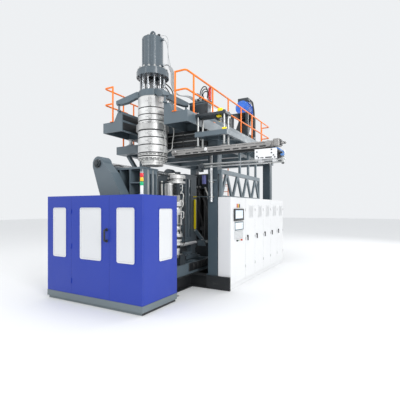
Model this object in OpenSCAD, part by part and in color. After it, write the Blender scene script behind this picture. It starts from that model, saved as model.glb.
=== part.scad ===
// Accumulator-head blow moulding machine for large drums.
// Millimetres, +Z up. The origin is on the floor below the axis of the die head.
// -Y is the guarded front, +X the side with the control cabinets.

/* [Floor frame] */
// Height of the floor beams
base_h = 300; // [240:10:360]
// Flange width of the floor beams
beam_w = 200; // [160:10:240]
// Flange thickness of the floor beams
beam_flange = 18; // [12:1:26]
// Web thickness of the floor beams
beam_web = 14; // [10:1:24]
// Half width of the skid under the clamp
skid_half = 900; // [860:10:980]
// Front end of the skid
skid_front = -1740; // [-1780:10:-1700]
// Front edge of the wide part of the frame
base_front = 342; // [330:2:370]
// Rear edge of the frame
base_rear = 4700; // [4600:50:5000]

/* [Columns and ring] */
// Outer half width of the columns and the ring
ring_half = 1535; // [1500:5:1560]
// Width of a column across the machine
column_w = 243; // [200:1:260]
// Depth of a column along the machine
column_d = 220; // [180:10:260]
// Front face of the right front column and of the ring
ring_front = 388; // [388:2:440]
// Front face of the left column, set back for mould changes
left_column_y = 1350; // [1300:10:1500]
// Under side of the ring
ring_z0 = 3290; // [3250:10:3300]
// Top of the ring
ring_z1 = 3500; // [3480:5:3520]
// Wall of the hollow beams
beam_wall = 12; // [8:1:20]

/* [Platform] */
// Under side of the platform beams
plat_z0 = 3680; // [3650:10:3720]
// Top of the platform deck
plat_z1 = 3925; // [3900:5:3960]
// Half width of the platform
plat_half = 1220; // [1180:10:1260]
// Front face of the two arms beside the head
arm_front = -400; // [-440:10:-400]
// Inner face of an arm, measured from the head axis
arm_inner = 610; // [590:10:640]
// Top of the raised inner rib of an arm
arm_top = 4142; // [4100:2:4160]
// Rear edge of the platform
plat_rear = 5450; // [5400:10:5600]

/* [Clamp] */
// Width of a mould platen
platen_w = 1130; // [1100:10:1160]
// Under side of the platens
platen_z0 = 980; // [970:5:1000]
// Top of the platens
platen_z1 = 2680; // [2640:10:2690]
// Thickness of a platen with its face plate
platen_t = 560; // [540:10:580]
// Free width between the two mould faces when open
daylight = 1100; // [1060:10:1160]
// Travel of each platen
clamp_stroke = 220; // [180:10:230]
// Diameter of the tie bars
tie_d = 110; // [90:5:120]
// Sideways distance of a tie bar from the centre
tie_dx = 340; // [330:5:360]
// Height of a tie bar above or below the centre
tie_dz = 934; // [934:2:945]
// Thickness of the diagonal outer platen
outer_t = 250; // [220:10:260]
// Free gap between the outer platen and the front platen
outer_gap = 42; // [30:2:60]
// Wall of the platen pockets
platen_wall = 30; // [20:2:40]
// Depth of the platen pockets
pocket_d = 400; // [300:10:440]
// Outer diameter of the clamp cylinder
clamp_cyl_d = 280; // [240:10:300]
// Rod diameter of the clamp cylinder
clamp_rod_d = 110; // [90:5:140]
// Top of the clamp bed
bed_z1 = 550; // [540:5:560]
// Height of the slide rails
rail_h = 50; // [40:5:55]
// Width of the slide rails
rail_w = 65; // [55:5:75]
// Sideways distance of the slide rails from the centre
rail_x = 500; // [480:5:510]

/* [Blow pins] */
// Sideways place of a blow pin when it is out
pin_x = 680; // [670:5:700]
// Inward travel of a blow pin
pin_stroke = 190; // [150:10:200]
// Top of the blow pins
pin_top = 2622; // [2606:2:2630]

/* [Die head] */
// Radius of the heater bands
band_r = 348; // [340:2:355]
// Radius of the steel shell below the bands
shell_r = 332; // [320:2:336]
// Bore radius of the accumulator
accu_r = 190; // [170:5:210]
// Top of the shell
head_z1 = 4440; // [4436:2:4460]
// Under side of the die
die_z0 = 2850; // [2835:5:2870]
// Radius of the die body
die_r = 251; // [240:1:262]
// Radius of the support collar
collar_r = 390; // [370:5:400]
// Travel of the accumulator ram
ram_stroke = 240; // [150:10:260]
// Travel of the die core
core_stroke = 25; // [10:1:30]
// Radius of the hydraulic cylinder on top
top_cyl_r = 251; // [230:1:262]
// Radius of its flange
top_flange_r = 386; // [370:2:392]
// Under side of the flange
top_flange_z0 = 4933; // [4910:5:4960]
// Top of the cylinder
top_cyl_z1 = 5870; // [5800:10:5950]
// Height of the hanger hub above the shell
hub_h = 150; // [130:10:200]
// Number of tie rods below the flange
rod_n = 12; // [8:2:14]

/* [Extruder] */
// Height of the screw axis
screw_z = 4350; // [4300:10:4360]
// Screw diameter
screw_d = 100; // [80:5:110]
// Outer radius of the extruder barrel
barrel_r = 95; // [85:5:110]
// Rear end of the barrel
barrel_y1 = 2960; // [2900:10:3000]
// Sideways place of the motor axis
motor_x = 310; // [250:10:340]
// Height of the motor axis
motor_z = 5510; // [5450:10:5560]
// Front face of the motor
motor_y0 = 4880; // [4820:10:4900]
// Length of the motor
motor_len = 560; // [500:10:560]
// Radius of the motor
motor_r = 250; // [220:5:260]

/* [Guard] */
// Outer half width of the guard
guard_half = 1250; // [1230:5:1280]
// Front face of the guard
guard_y0 = -1909; // [-1940:1:-1900]
// Rear end of the guard
guard_y1 = -848; // [-900:2:-820]
// Top of the guard
guard_z1 = 2080; // [2000:5:2150]
// Top of the grey skirt
skirt_z = 165; // [140:5:200]
// Left edge of the guard door
gdoor_x0 = -530; // [-560:5:-500]
// Right edge of the guard door
gdoor_x1 = 484; // [450:2:520]
// Thickness of the guard panels
panel_t = 30; // [20:1:40]
// Lower edge of the windows
win_z0 = 880; // [800:5:950]
// Upper edge of the windows
win_z1 = 1852; // [1800:2:1900]

/* [Cabinets] */
// Gap between the columns and the rear wall of the cabinets
cab_gap = 15; // [10:1:30]
// Depth of the cabinets with their doors
cab_depth = 306; // [290:2:350]
// Front side of the first cabinet
cab_y0 = 392; // [390:2:410]
// Width of the operating cabinet
cab_w0 = 900; // [860:10:960]
// Width of each of the other cabinets
cab_w = 682; // [640:2:720]
// Top of the cabinets
cab_z1 = 2090; // [2000:10:2090]
// Height of the black plinth
plinth_h = 120; // [80:5:160]
// Thickness of a door
door_t = 20; // [16:1:26]
// Wall of the cabinet bodies
cab_wall = 14; // [8:1:16]

/* [Railing] */
// Height of the top rail above the deck
rail_top_h = 865; // [850:5:1000]
// Height of the middle rail above the deck
rail_mid_h = 460; // [420:5:520]
// Radius of the rail tubes
tube_r = 21; // [18:1:24]

/* [Take-out unit] */
// Left end of the take-out beam
beam_x0 = 620; // [600:10:680]
// Right end of the take-out beam
beam_x1 = 2950; // [2900:10:3000]
// Top of the take-out beam
take_z1 = 3150; // [3130:5:3170]
// Travel of the carriage
take_stroke = 1250; // [1100:10:1280]
// Left tip of the gripper boom
boom_x0 = 1350; // [1300:10:1400]
// Opening travel of each gripper jaw
jaw_stroke = 40; // [20:2:50]

/* [Hidden] */
$fn = 64;
steel_grey = "slategray";
dark = "dimgray";
fit = 0.5;
seat = 0.3;
cz = (platen_z0 + platen_z1) / 2;
face_y = daylight / 2;
hub_top = head_z1 + hub_h;
cab_x0 = ring_half + cab_gap;
cab_x1 = cab_x0 + cab_depth;
platen_back = face_y + platen_t;
outer_y1 = -platen_back - outer_gap;
outer_y0 = outer_y1 - outer_t;
core_rod_r = 28;
arm_join = 560;
ladder_x = -760;
tank_y = 2250;
tank_l = 1500;
gearbox_y1 = 4060;
hang_x = [1275, 1905];
hang_y = [-45, 165];
hang_r = 20;
walk_z1 = 3492;

// Beam of I section along X from the origin
module i_beam_x(len) {
    rotate([90, 0, 90])
        linear_extrude(len)
            i_profile();
}

// Beam of I section along Y from the origin
module i_beam_y(len) {
    translate([0, len, 0])
        rotate([90, 0, 0])
            linear_extrude(len)
                i_profile();
}

// I section that stands on the floor and is centred on its web
module i_profile() {
    translate([-beam_w / 2, 0])
        square([beam_w, beam_flange]);
    translate([-beam_w / 2, base_h - beam_flange])
        square([beam_w, beam_flange]);
    translate([-beam_web / 2, 0])
        square([beam_web, base_h]);
}

// Rectangular hollow beam between two corners, open inside, with closed ends
module hollow(p, q, wall = beam_wall) {
    difference() {
        translate(p)
            cube(q - p);
        translate(p + [wall, wall, wall])
            cube(q - p - 2 * [wall, wall, wall]);
    }
}

// Solid block between two corners
module block(p, q) {
    translate(p)
        cube(q - p);
}

// Block with rounded upright edges
module soft_block(p, q, r) {
    s = q - p;
    translate(p)
        linear_extrude(s.z)
            rounded_square([s.x, s.y], r);
}

// Rectangle with true round corners
module rounded_square(s, r) {
    translate([r, 0])
        square([s.x - 2 * r, s.y]);
    translate([0, r])
        square([s.x, s.y - 2 * r]);
    for (x = [r, s.x - r], y = [r, s.y - r])
        translate([x, y])
            circle(r);
}

// Round bar along Y
module bar_y(x, z, y0, y1, r) {
    translate([x, y1, z])
        rotate([90, 0, 0])
            cylinder(r = r, h = y1 - y0);
}

// Round bar along X
module bar_x(y, z, x0, x1, r) {
    translate([x0, y, z])
        rotate([0, 90, 0])
            cylinder(r = r, h = x1 - x0);
}

// Round bar upright
module bar_z(x, y, z0, z1, r) {
    translate([x, y, z0])
        cylinder(r = r, h = z1 - z0);
}

// Square bar between two points of one XZ or YZ plane
module strut_yz(x, a, b, w, t) {
    d = b - a;
    translate([x, a.x, a.y])
        rotate([atan2(d.y, d.x), 0, 0])
            translate([-w / 2, -t / 2, -t / 2])
                cube([w, norm(d) + t, t]);
}

// Black floor frame of I beams, welded into one piece
module base_frame() {
    inner = skid_half - beam_w / 2;
    side_x = ring_half - beam_w / 2;
    bed_rear = 1450;
    foot = 260;
    color("#22282c") {
        for (s = [-1, 1])
            translate([s * inner, skid_front, 0])
                i_beam_y(bed_rear - skid_front);
        for (y = [skid_front + beam_w / 2, -850, 0])
            translate([-inner, y, 0])
                i_beam_x(2 * inner);
        translate([-ring_half, base_front + beam_w / 2, 0])
            i_beam_x(2 * ring_half);
        translate([-ring_half, base_rear - beam_w / 2, 0])
            i_beam_x(2 * ring_half);
        for (y = [bed_rear + beam_w / 2, tank_y + 200, tank_y + tank_l - 200])
            translate([-ring_half, y, 0])
                i_beam_x(2 * ring_half);
        for (s = [-1, 1])
            translate([s * side_x, base_front + beam_w / 2, 0])
                i_beam_y(base_rear - base_front - beam_w);
        block([ring_half - foot, base_front, 0], [ring_half, base_front + foot, base_h]);
        block([ring_half, base_front, 0], [cab_x1, cab_y0 - seat, base_h]);
    }
}

// Grey bed on the skid, with the split slide rails
module clamp_bed() {
    half = skid_half - 45;
    rear = 1400;
    color(steel_grey) {
        difference() {
            block([-half, skid_front + 40, base_h], [half, rear, bed_z1]);
            for (y = [skid_front + 150, -720, 260, 840])
                block([-half + 60, y, base_h + 40], [half - 60, y + 420, bed_z1 + 1]);
        }
        for (s = [-1, 1], y = [[skid_front + 60, -300], [300, rear - 20]])
            block([s * rail_x - rail_w / 2, y[0], bed_z1 - 60],
                [s * rail_x + rail_w / 2, y[1], bed_z1 + rail_h]);
    }
}

// Four hollow columns with foot and head plates
module columns() {
    foot = 40;
    plate = 22;
    rear_y = base_rear - 400;
    places = [[1, ring_front], [-1, left_column_y], [1, rear_y], [-1, rear_y]];
    color(steel_grey)
        for (p = places) {
            x0 = p[0] > 0 ? ring_half - column_w : -ring_half;
            hollow([x0, p[1], base_h], [x0 + column_w, p[1] + column_d, ring_z0]);
            block([x0 - (p[0] > 0 ? foot : 0), p[1], base_h],
                [x0 + column_w + (p[0] > 0 ? 0 : foot), p[1] + column_d + foot, base_h + plate]);
            block([x0 - (p[0] > 0 ? foot : 0), p[1], ring_z0 - plate],
                [x0 + column_w + (p[0] > 0 ? 0 : foot), p[1] + column_d + foot, ring_z0]);
        }
}

// Ring of box beams on the columns, with the knee brace and the jack posts
module ring_frame() {
    w = 200;
    post_r = 42;
    post_x = plat_half - 110;
    color(steel_grey) {
        hollow([-ring_half, ring_front, ring_z0], [ring_half, ring_front + w, ring_z1]);
        hollow([-ring_half, base_rear - w, ring_z0], [ring_half, base_rear, ring_z1]);
        for (s = [-1, 1])
            hollow([s > 0 ? ring_half - w : -ring_half, ring_front + w - beam_wall, ring_z0],
                [s > 0 ? ring_half : w - ring_half, base_rear - w + beam_wall, ring_z1]);
        for (y = [left_column_y, 2300, 3300])
            hollow([-ring_half + w - beam_wall, y, ring_z0],
                [ring_half - w + beam_wall, y + w, ring_z1]);
        difference() {
            strut_yz(-ring_half + w / 2, [left_column_y - 560, ring_z0 - 20],
                [left_column_y - 40, ring_z0 - 560], 90, 90);
            block([-ring_half, left_column_y - seat, ring_z0 - 800],
                [-ring_half + w, left_column_y + 200, ring_z0 - 200]);
        }
        for (x = [-post_x, post_x], y = [ring_front + w / 2, left_column_y + w / 2, 2400, 3400,
            base_rear - w / 2]) {
            bar_z(x, y, ring_z1 - beam_wall, plat_z0, post_r);
            block([x - 80, y - 80, ring_z1 - 1], [x + 80, y + 80, ring_z1 + 22]);
        }
    }
}

// Platform with the two arms that carry the head
module platform_frame() {
    low_x = 862;
    rib_x = 742;
    side_w = 160;
    deck_t = 20;
    color(steel_grey) {
        for (s = [-1, 1])
            mirror([s < 0 ? 1 : 0, 0, 0]) {
                difference() {
                    translate([0, arm_join + 2, 0])
                        rotate([90, 0, 0])
                            linear_extrude(arm_join + 2 - arm_front)
                                polygon([[arm_inner, plat_z0], [plat_half, plat_z0],
                                    [plat_half, plat_z1], [low_x, plat_z1],
                                    [rib_x, arm_top], [arm_inner, arm_top]]);
                    block([arm_inner + 40, arm_front + 25, plat_z0 - 1],
                        [plat_half - 25, arm_join - 40, plat_z1 - 40]);
                }
                hollow([plat_half - side_w, arm_join, plat_z0], [plat_half, plat_rear, plat_z1 - 1]);
                hollow([350, arm_join, plat_z0], [350 + 120, plat_rear, plat_z1 - deck_t + 1]);
                block([arm_inner, arm_join - 30, plat_z1], [arm_inner + 30, arm_join + 160, arm_top]);
            }
        for (y = [arm_join, 1500, 2450, 3400, 4350, plat_rear - 160])
            hollow([-plat_half + side_w - beam_wall, y, plat_z0],
                [plat_half - side_w + beam_wall, y + 160, plat_z1 - deck_t + 1]);
        block([-plat_half, arm_join, plat_z1 - deck_t], [plat_half, plat_rear, plat_z1]);
    }
}

// Cast hanger with four arms that holds the head
module head_spider() {
    hub_r = 336;
    hub_z0 = head_z1 + 8;
    hub_z1 = hub_top;
    foot_x = 676;
    foot_y = 440;
    reach = norm([foot_x, foot_y]);
    turn = atan2(foot_y, foot_x);
    arm_w = 150;
    foot_z = arm_top + 150;
    color(steel_grey)
        difference() {
            union() {
                bar_z(0, 0, hub_z0, hub_z1, hub_r);
                bar_z(0, 0, head_z1, hub_z0 + 1, shell_r);
                for (a = [turn, 180 - turn, 180 + turn, 360 - turn])
                    rotate(a) {
                        translate([0, arm_w / 2, 0])
                            rotate([90, 0, 0])
                                linear_extrude(arm_w)
                                    polygon([[hub_r - 120, hub_z0], [hub_r - 120, hub_z1],
                                        [hub_r + 40, hub_z1], [reach - 140, hub_z1 - 140],
                                        [reach + 45, foot_z + 70], [reach + 45, foot_z],
                                        [reach - 70, foot_z], [reach - 230, hub_z0 - 110],
                                        [hub_r + 50, hub_z0]]);
                        bar_z(reach - 12, 0, arm_top, foot_z + 10, 24);
                        bar_z(reach - 12, 0, arm_top, arm_top + 26, 46);
                    }
            }
            bar_z(0, 0, head_z1 - 1, hub_z1 + 1, 130);
        }
}

// Steel shell of the accumulator head, bored for the ram
module head_barrel() {
    z_low = 3110;
    collar = [3655, 3792];
    neck_y = 430;
    wall_top = 60;
    color("silver")
        difference() {
            union() {
                bar_z(0, 0, z_low, head_z1, shell_r);
                bar_z(0, 0, collar[0], collar[1], collar_r);
                bar_y(0, screw_z, 0, neck_y, 80);
                bar_y(0, screw_z, neck_y - 40, neck_y, 130);
            }
            bar_z(0, 0, z_low - 1, head_z1 - wall_top, accu_r);
            bar_z(0, 0, z_low, head_z1 + 1, 130);
            bar_y(0, screw_z, 0, neck_y + 1, screw_d / 2 + 1);
        }
}

// Clamped heater bands round the shell, the tall ones at the top
module heater_bands() {
    bands = [[4178, 4420], [4018, 4154], [3882, 3996], [3800, 3860], [3492, 3634],
        [3322, 3468], [3140, 3298]];
    ear = 44;
    color("whitesmoke")
        for (b = bands)
            difference() {
                union() {
                    bar_z(0, 0, b[0], b[1], band_r);
                    rotate(-62)
                        block([band_r - 20, -16, b[0] + 12], [band_r + ear, 16, b[1] - 12]);
                }
                bar_z(0, 0, b[0] - 1, b[1] + 1, shell_r + seat);
                if (b[1] > screw_z && b[0] < screw_z || b[1] > screw_z - 140 && b[0] < screw_z)
                    block([-136, 0, b[0] - 1], [136, band_r + 1, b[1] + 1]);
                rotate(-62)
                    block([band_r - 30, -3, b[0] - 1], [band_r + ear + 1, 3, b[1] + 1]);
            }
}

// Die body below the shell, with its two clamp rings and centring bolts
module die_ring() {
    top = 3110;
    rings = [[3062, top], [2984, 3032]];
    ring_r = 350;
    bolt_n = 16;
    inner = 150;
    color("silver")
        difference() {
            union() {
                for (r = rings)
                    bar_z(0, 0, r[0], r[1], ring_r);
                bar_z(0, 0, die_z0 + 60, top - 1, die_r + 14);
                bar_z(0, 0, die_z0, die_z0 + 110, die_r);
                for (i = [0:bolt_n - 1])
                    rotate(i * 360 / bolt_n) {
                        bar_z(ring_r - 28, 0, rings[1][1] - 1, rings[0][0] + 1, 14);
                        bar_z(ring_r - 28, 0, rings[1][0] - 30, rings[1][0] + 1, 17);
                    }
                for (i = [0:7])
                    rotate(i * 45 + 22)
                        bar_x(0, die_z0 + 70, die_r - 10, die_r + 34, 13);
            }
            bar_z(0, 0, die_z0 + 90, top + 1, accu_r);
            bar_z(0, 0, die_z0 - 1, die_z0 + 91, inner);
        }
}

// Die core on its long control rod
module die_core() {
    tip_r = 142;
    rod_r = core_rod_r;
    color("silver") {
        bar_z(0, 0, die_z0 + 10, die_z0 + 75, tip_r);
        translate([0, 0, die_z0 + 75])
            rotate_extrude()
                polygon([[0, -1], [tip_r, -1], [60, 150], [0, 150]]);
        bar_z(0, 0, die_z0 + 200, top_flange_z0 + 330, rod_r);
    }
}

// Tubular ram that pushes the plastic down
module head_ram() {
    piston_h = 160;
    z0 = 3960;
    rod_r = 70;
    color("silver")
        difference() {
            union() {
                bar_z(0, 0, z0, z0 + piston_h, accu_r - fit);
                bar_z(0, 0, z0 + piston_h - 1, top_flange_z0 + 260, rod_r);
                bar_z(0, 0, top_flange_z0 + 200, top_flange_z0 + 260, 150);
            }
            bar_z(0, 0, z0 - 1, top_flange_z0 + 261, core_rod_r + seat);
        }
}

// Ring of tie rods between the hanger and the cylinder flange
module head_tie_rods() {
    rod_r = 22;
    ring = 284;
    color("dimgray")
        for (i = [0:rod_n - 1])
            rotate(i * 360 / rod_n + 15) {
                bar_z(ring, 0, hub_top, top_flange_z0, rod_r);
                bar_z(ring, 0, hub_top, hub_top + 32, rod_r + 12);
                bar_z(ring, 0, top_flange_z0 - 30, top_flange_z0, rod_r + 12);
            }
}

// Hydraulic cylinder on top of the head, with its ports and lifting eye
module head_cylinder() {
    flange_step = 118;
    flange_z1 = top_flange_z0 + 165;
    eye_z = top_cyl_z1 + 128;
    bolt_n = 16;
    cover = 60;
    bore = 160;
    color(steel_grey)
        difference() {
            union() {
                bar_z(0, 0, top_flange_z0, top_flange_z0 + flange_step, top_flange_r);
                bar_z(0, 0, top_flange_z0 + flange_step - 1, flange_z1, top_flange_r - 22);
                bar_z(0, 0, flange_z1 - 1, top_cyl_z1, top_cyl_r);
                for (i = [0:bolt_n - 1])
                    rotate(i * 360 / bolt_n)
                        bar_z(top_flange_r - 52, 0, flange_z1 - 1, flange_z1 + 44, 20);
                for (a = [-60, 60, 120, 240])
                    rotate(a)
                        block([top_cyl_r - 20, -14, flange_z1 - 1], [top_cyl_r + 16, 14, top_cyl_z1 - 40]);
                bar_x(0, top_cyl_z1 - 70, top_cyl_r - 10, top_cyl_r + 70, 30);
                bar_x(0, flange_z1 + 90, top_cyl_r - 10, top_cyl_r + 60, 30);
                bar_z(0, 0, top_cyl_z1 - 1, top_cyl_z1 + 44, 64);
                bar_z(0, 0, top_cyl_z1 + 43, eye_z - 50, 34);
                translate([0, 18, eye_z])
                    rotate([90, 0, 0])
                        cylinder(r = 76, h = 36);
            }
            bar_z(0, 0, top_flange_z0 - 1, top_cyl_z1 - cover, bore);
            translate([0, 19, eye_z])
                rotate([90, 0, 0])
                    cylinder(r = 40, h = 38);
        }
}

// Extruder barrel with heaters, cooling fans and feed throat
module extruder_barrel() {
    y0 = 430;
    zones = 5;
    pitch = (barrel_y1 - 480 - y0) / zones;
    throat = [barrel_y1 - 300, barrel_y1 + 20];
    color("lightgray")
        difference() {
            union() {
                bar_y(0, screw_z, y0, barrel_y1, barrel_r);
                bar_y(0, screw_z, y0, y0 + 45, 130);
                for (i = [0:zones - 1]) {
                    y = y0 + 80 + i * pitch;
                    bar_y(0, screw_z, y, y + pitch - 60, barrel_r + 36);
                    block([-110, y + 60, screw_z - 330], [110, y + 280, screw_z - barrel_r]);
                }
                block([-150, throat[0], screw_z - 150], [150, throat[1], screw_z + 200]);
                block([-110, throat[0] + 60, plat_z1], [110, throat[1] - 60, screw_z - 140]);
                block([-110, 700, plat_z1], [110, 760, screw_z - 60]);
            }
            bar_y(0, screw_z, y0 - 1, barrel_y1 + 30, screw_d / 2);
            bar_z(0, barrel_y1 - 140, screw_z, screw_z + 201, 70);
        }
}

// Extruder screw, a plain core with its flights
module extruder_screw() {
    root_r = screw_d / 2 - 14;
    flight_pitch = 100;
    y0 = 470;
    color("silver") {
        bar_y(0, screw_z, y0, barrel_y1 + 120, root_r);
        for (y = [y0 + 20:flight_pitch:barrel_y1 - 60])
            bar_y(0, screw_z, y, y + 14, screw_d / 2 - seat);
    }
}

// Cast reduction gearbox behind the barrel
module gearbox() {
    y0 = barrel_y1 + 20;
    y1 = gearbox_y1;
    w = 300;
    top = 4880;
    color("#3c464c")
        difference() {
            union() {
                soft_block([-w, y0 + 60, plat_z1], [w, y1, top], 40);
                block([-w - 50, y0 + 80, plat_z1], [w + 50, y1 - 20, plat_z1 + 50]);
                bar_y(0, screw_z, y0, y0 + 70, 170);
                for (z = [4180, 4560])
                    block([-w - 16, y0 + 60, z], [w + 16, y1, z + 30]);
                bar_z(-120, y1 - 200, top - 1, top + 60, 45);
            }
            bar_y(0, screw_z, y0 - 1, y0 + 130, screw_d / 2 + 2);
        }
}

// Blue main motor with feet, blower box and ribs
module drive_motor() {
    rib_n = 24;
    shield = 60;
    color("#2f6fc0") {
        bar_y(motor_x, motor_z, motor_y0 + 20, motor_y0 + motor_len, motor_r - 26);
        bar_y(motor_x, motor_z, motor_y0, motor_y0 + shield, motor_r);
        bar_y(motor_x, motor_z, motor_y0 + motor_len - shield, motor_y0 + motor_len, motor_r);
        translate([motor_x, 0, motor_z])
            for (i = [0:rib_n - 1])
                rotate([0, i * 360 / rib_n, 0])
                    translate([motor_r - 36, motor_y0 + shield - 1, -4])
                        cube([28, motor_len - 2 * shield + 2, 8]);
        for (s = [-1, 1])
            block([motor_x + s * 150 - 60, motor_y0 + 40, motor_z - motor_r - 20],
                [motor_x + s * 150 + 60, motor_y0 + motor_len - 40, motor_z - motor_r + 60]);
        soft_block([motor_x - 205, motor_y0 + 110, motor_z + motor_r - 60],
            [motor_x + 185, motor_y0 + motor_len - 60, motor_z + motor_r + 125], 24);
    }
}

// Motor stand with the closed belt guard at its rear
module belt_guard() {
    top = motor_z - motor_r - 20;
    y0 = motor_y0 - 260;
    y1 = motor_y0 + motor_len;
    x0 = motor_x - 330;
    x1 = motor_x + 330;
    leg = 90;
    guard_t = 150;
    input_z = 4560;
    color("#3c464c") {
        for (x = [x0, x1 - leg], y = [y0, y1 - leg])
            hollow([x, y, plat_z1], [x + leg, y + leg, top - 30 + 1], 8);
        block([x0, y0, top - 30], [x1, y1, top]);
        for (x = [x0, x1 - leg])
            block([x, y0 + leg - 1, 4400], [x + leg, y1 - leg + 1, 4470]);
        block([x0 + leg - 1, y0, 4400], [x1 - leg + 1, y0 + leg, 4470]);
        translate([0, y1 + guard_t, 0])
            rotate([90, 0, 0])
                linear_extrude(guard_t)
                    hull() {
                        translate([motor_x, motor_z])
                            circle(210);
                        translate([0, input_z])
                            circle(270);
                    }
        block([-140, gearbox_y1, input_z - 130], [140, y0 + 1, input_z + 130]);
        block([-140, y0, input_z - 130], [140, y1 + 1, input_z + 130]);
    }
}

// Hopper with a sloped throat and a flat lid
module hopper() {
    y = barrel_y1 - 140;
    z0 = screw_z + 200;
    half = 200;
    color("lightgray")
        difference() {
            union() {
                block([-120, y - 120, z0], [120, y + 120, z0 + 20]);
                block([-half, y - half, z0 + 160], [half, y + half, z0 + 460]);
                translate([0, y, z0 + 19])
                    hull() {
                        block([-90, -90, 0], [90, 90, 2]);
                        block([-half, -half, 142], [half, half, 143]);
                    }
                block([-half - 12, y - half - 12, z0 + 450], [half + 12, y + half + 12, z0 + 468]);
            }
            block([-half + 6, y - half + 6, z0 + 166], [half - 6, y + half - 6, z0 + 449]);
            block([-70, y - 70, z0 - 1], [70, y + 70, z0 + 170]);
        }
}

// Servo valve block of the head on the deck beside the railing
module servo_manifold() {
    p = [570, 760, plat_z1];
    s = [520, 170, 520];
    lid = 24;
    loop_r = 90;
    hose_r = 12;
    color("#4b555b") {
        block(p, p + s);
        block(p + [-24, -24, s.z - 1], p + [s.x + 44, s.y + 24, s.z + lid]);
        block(p + [90, 40, s.z + lid - 1], p + [210, 130, s.z + 120]);
        translate(p + [150, 85, s.z + 180])
            rotate([90, 0, 0])
                rotate_extrude()
                    translate([loop_r, 0])
                        circle(hose_r);
        bar_z(p.x + 60, p.y + 85, p.z + s.z, p.z + s.z + 130, 16);
    }
}

// Red gas bottle that feeds the servo valve
module gas_bottle() {
    x = 1100;
    y = 845;
    z0 = plat_z1 + 520 + 24;
    r = 38;
    color("red") {
        bar_z(x, y, z0, z0 + 30, r - 10);
        bar_z(x, y, z0 + 29, z0 + 300, r);
        translate([x, y, z0 + 300])
            sphere(r);
        bar_z(x, y, z0 + 300, z0 + 360, 13);
    }
}

// Rail run of a top and a middle tube, with posts, along Y
module rail_run(x, y0, y1, z0, posts) {
    for (h = [rail_top_h, rail_mid_h])
        bar_y(x, plat_z1 + h, y0, y1, tube_r);
    for (y = posts) {
        bar_z(x, y, z0, plat_z1 + rail_top_h, tube_r);
        bar_z(x, y, z0, z0 + 12, tube_r + 30);
    }
}

// Short return of the railing along X, with one post at its end
module rail_return(x0, x1, y, post_x, z0) {
    for (h = [rail_top_h, rail_mid_h])
        bar_x(y, plat_z1 + h, x0, x1, tube_r);
    bar_z(post_x, y, z0, plat_z1 + rail_top_h, tube_r);
    bar_z(post_x, y, z0, z0 + 12, tube_r + 30);
}

// Orange railing along the right edge of the platform
module railing_right() {
    x = plat_half - 55;
    y0 = arm_front + 30;
    y1 = plat_rear - 60;
    posts = [-46, 872, 1790, 2700, 3610, 4520];
    color("orange") {
        rail_run(x, y0, y1, plat_z1, posts);
        rail_return(900, x, y0, 916, plat_z1);
        rail_return(874, x, y1, x - 30, plat_z1);
    }
}

// Orange railing along the left side, with the ladder at the rear
module railing_left() {
    x = -plat_half + 25;
    out = -ring_half + 120;
    y0 = arm_front + 30;
    jog = 480;
    y1 = base_rear - 60;
    step_n = 14;
    ladder_y = plat_rear + 60;
    color("orange") {
        rail_run(x, y0, jog, plat_z1, []);
        rail_return(x, -919, y0, -930, plat_z1);
        for (h = [rail_top_h, rail_mid_h]) {
            bar_x(jog, plat_z1 + h, out - tube_r, x + tube_r, tube_r);
            bar_x(y1, plat_z1 + h, out - tube_r, x + 200, tube_r);
        }
        rail_run(out, jog, y1, ring_z1, [530, 950, 1900, 2800, 3700]);
        bar_z(x + 180, y1, plat_z1, plat_z1 + rail_top_h, tube_r);
        for (s = [-1, 1]) {
            bar_z(ladder_x + s * 230, ladder_y, 0, plat_z1 + rail_top_h, tube_r);
            bar_y(ladder_x + s * 230, plat_z1 - 100, plat_rear, ladder_y, tube_r - 4);
            bar_y(ladder_x + s * 230, plat_z1 + rail_top_h - 40, plat_rear - 300, ladder_y, tube_r);
            bar_z(ladder_x + s * 230, plat_rear - 300, plat_z1, plat_z1 + rail_top_h - 40, tube_r);
        }
        for (i = [1:step_n])
            bar_x(ladder_y, i * (plat_z1 - 60) / step_n, ladder_x - 230, ladder_x + 230, 14);
    }
}

// Walkway frame outside the ring on the cabinet side
module walkway_right() {
    x0 = plat_half;
    x1 = 1990;
    y0 = -100;
    y1 = base_rear - 250;
    z0 = 3388;
    z1 = walk_z1;
    w = 90;
    color(steel_grey)
        difference() {
            union() {
                block([x0, y0, z0], [x1, y0 + w, z1]);
                block([x0, y0, z0], [x0 + w, ring_front - seat, z1]);
                block([x1 - 60, y0, z0], [x1, y1, z1]);
                block([ring_half + seat, ring_front - w, z0], [ring_half + 60, y1, z1]);
                block([x0, ring_front - w, z0], [ring_half + 60, ring_front - seat, z1]);
                for (y = [ring_front + 60, 1300, 2200, 3100, y1 - 60])
                    block([ring_half + seat, y, z0], [x1, y + 60, z1]);
                block([x0, y0, z1 - 6], [x1, ring_front - seat, z1]);
                block([ring_half + seat, ring_front - 1, z1 - 6], [x1, y1, z1]);
            }
            for (x = hang_x, y = hang_y)
                bar_z(x, y, z0 - 1, z1 + 1, hang_r + seat);
        }
}

// Plate and four threaded rods that hang the take-out beam from the walkway
module robot_hanger() {
    z1 = 3880;
    color("whitesmoke") {
        block([plat_half + 10, -72, z1 - 50], [1945, 218, z1]);
        for (x = hang_x, y = hang_y) {
            bar_z(x, y, take_z1 + 14, z1 + 40, hang_r);
            bar_z(x, y, z1 - 1, z1 + 22, hang_r + 14);
            bar_z(x, y, take_z1 + 14, take_z1 + 40, hang_r + 14);
            bar_z(x, y, walk_z1 + seat, walk_z1 + 24, hang_r + 14);
        }
    }
}

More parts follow.
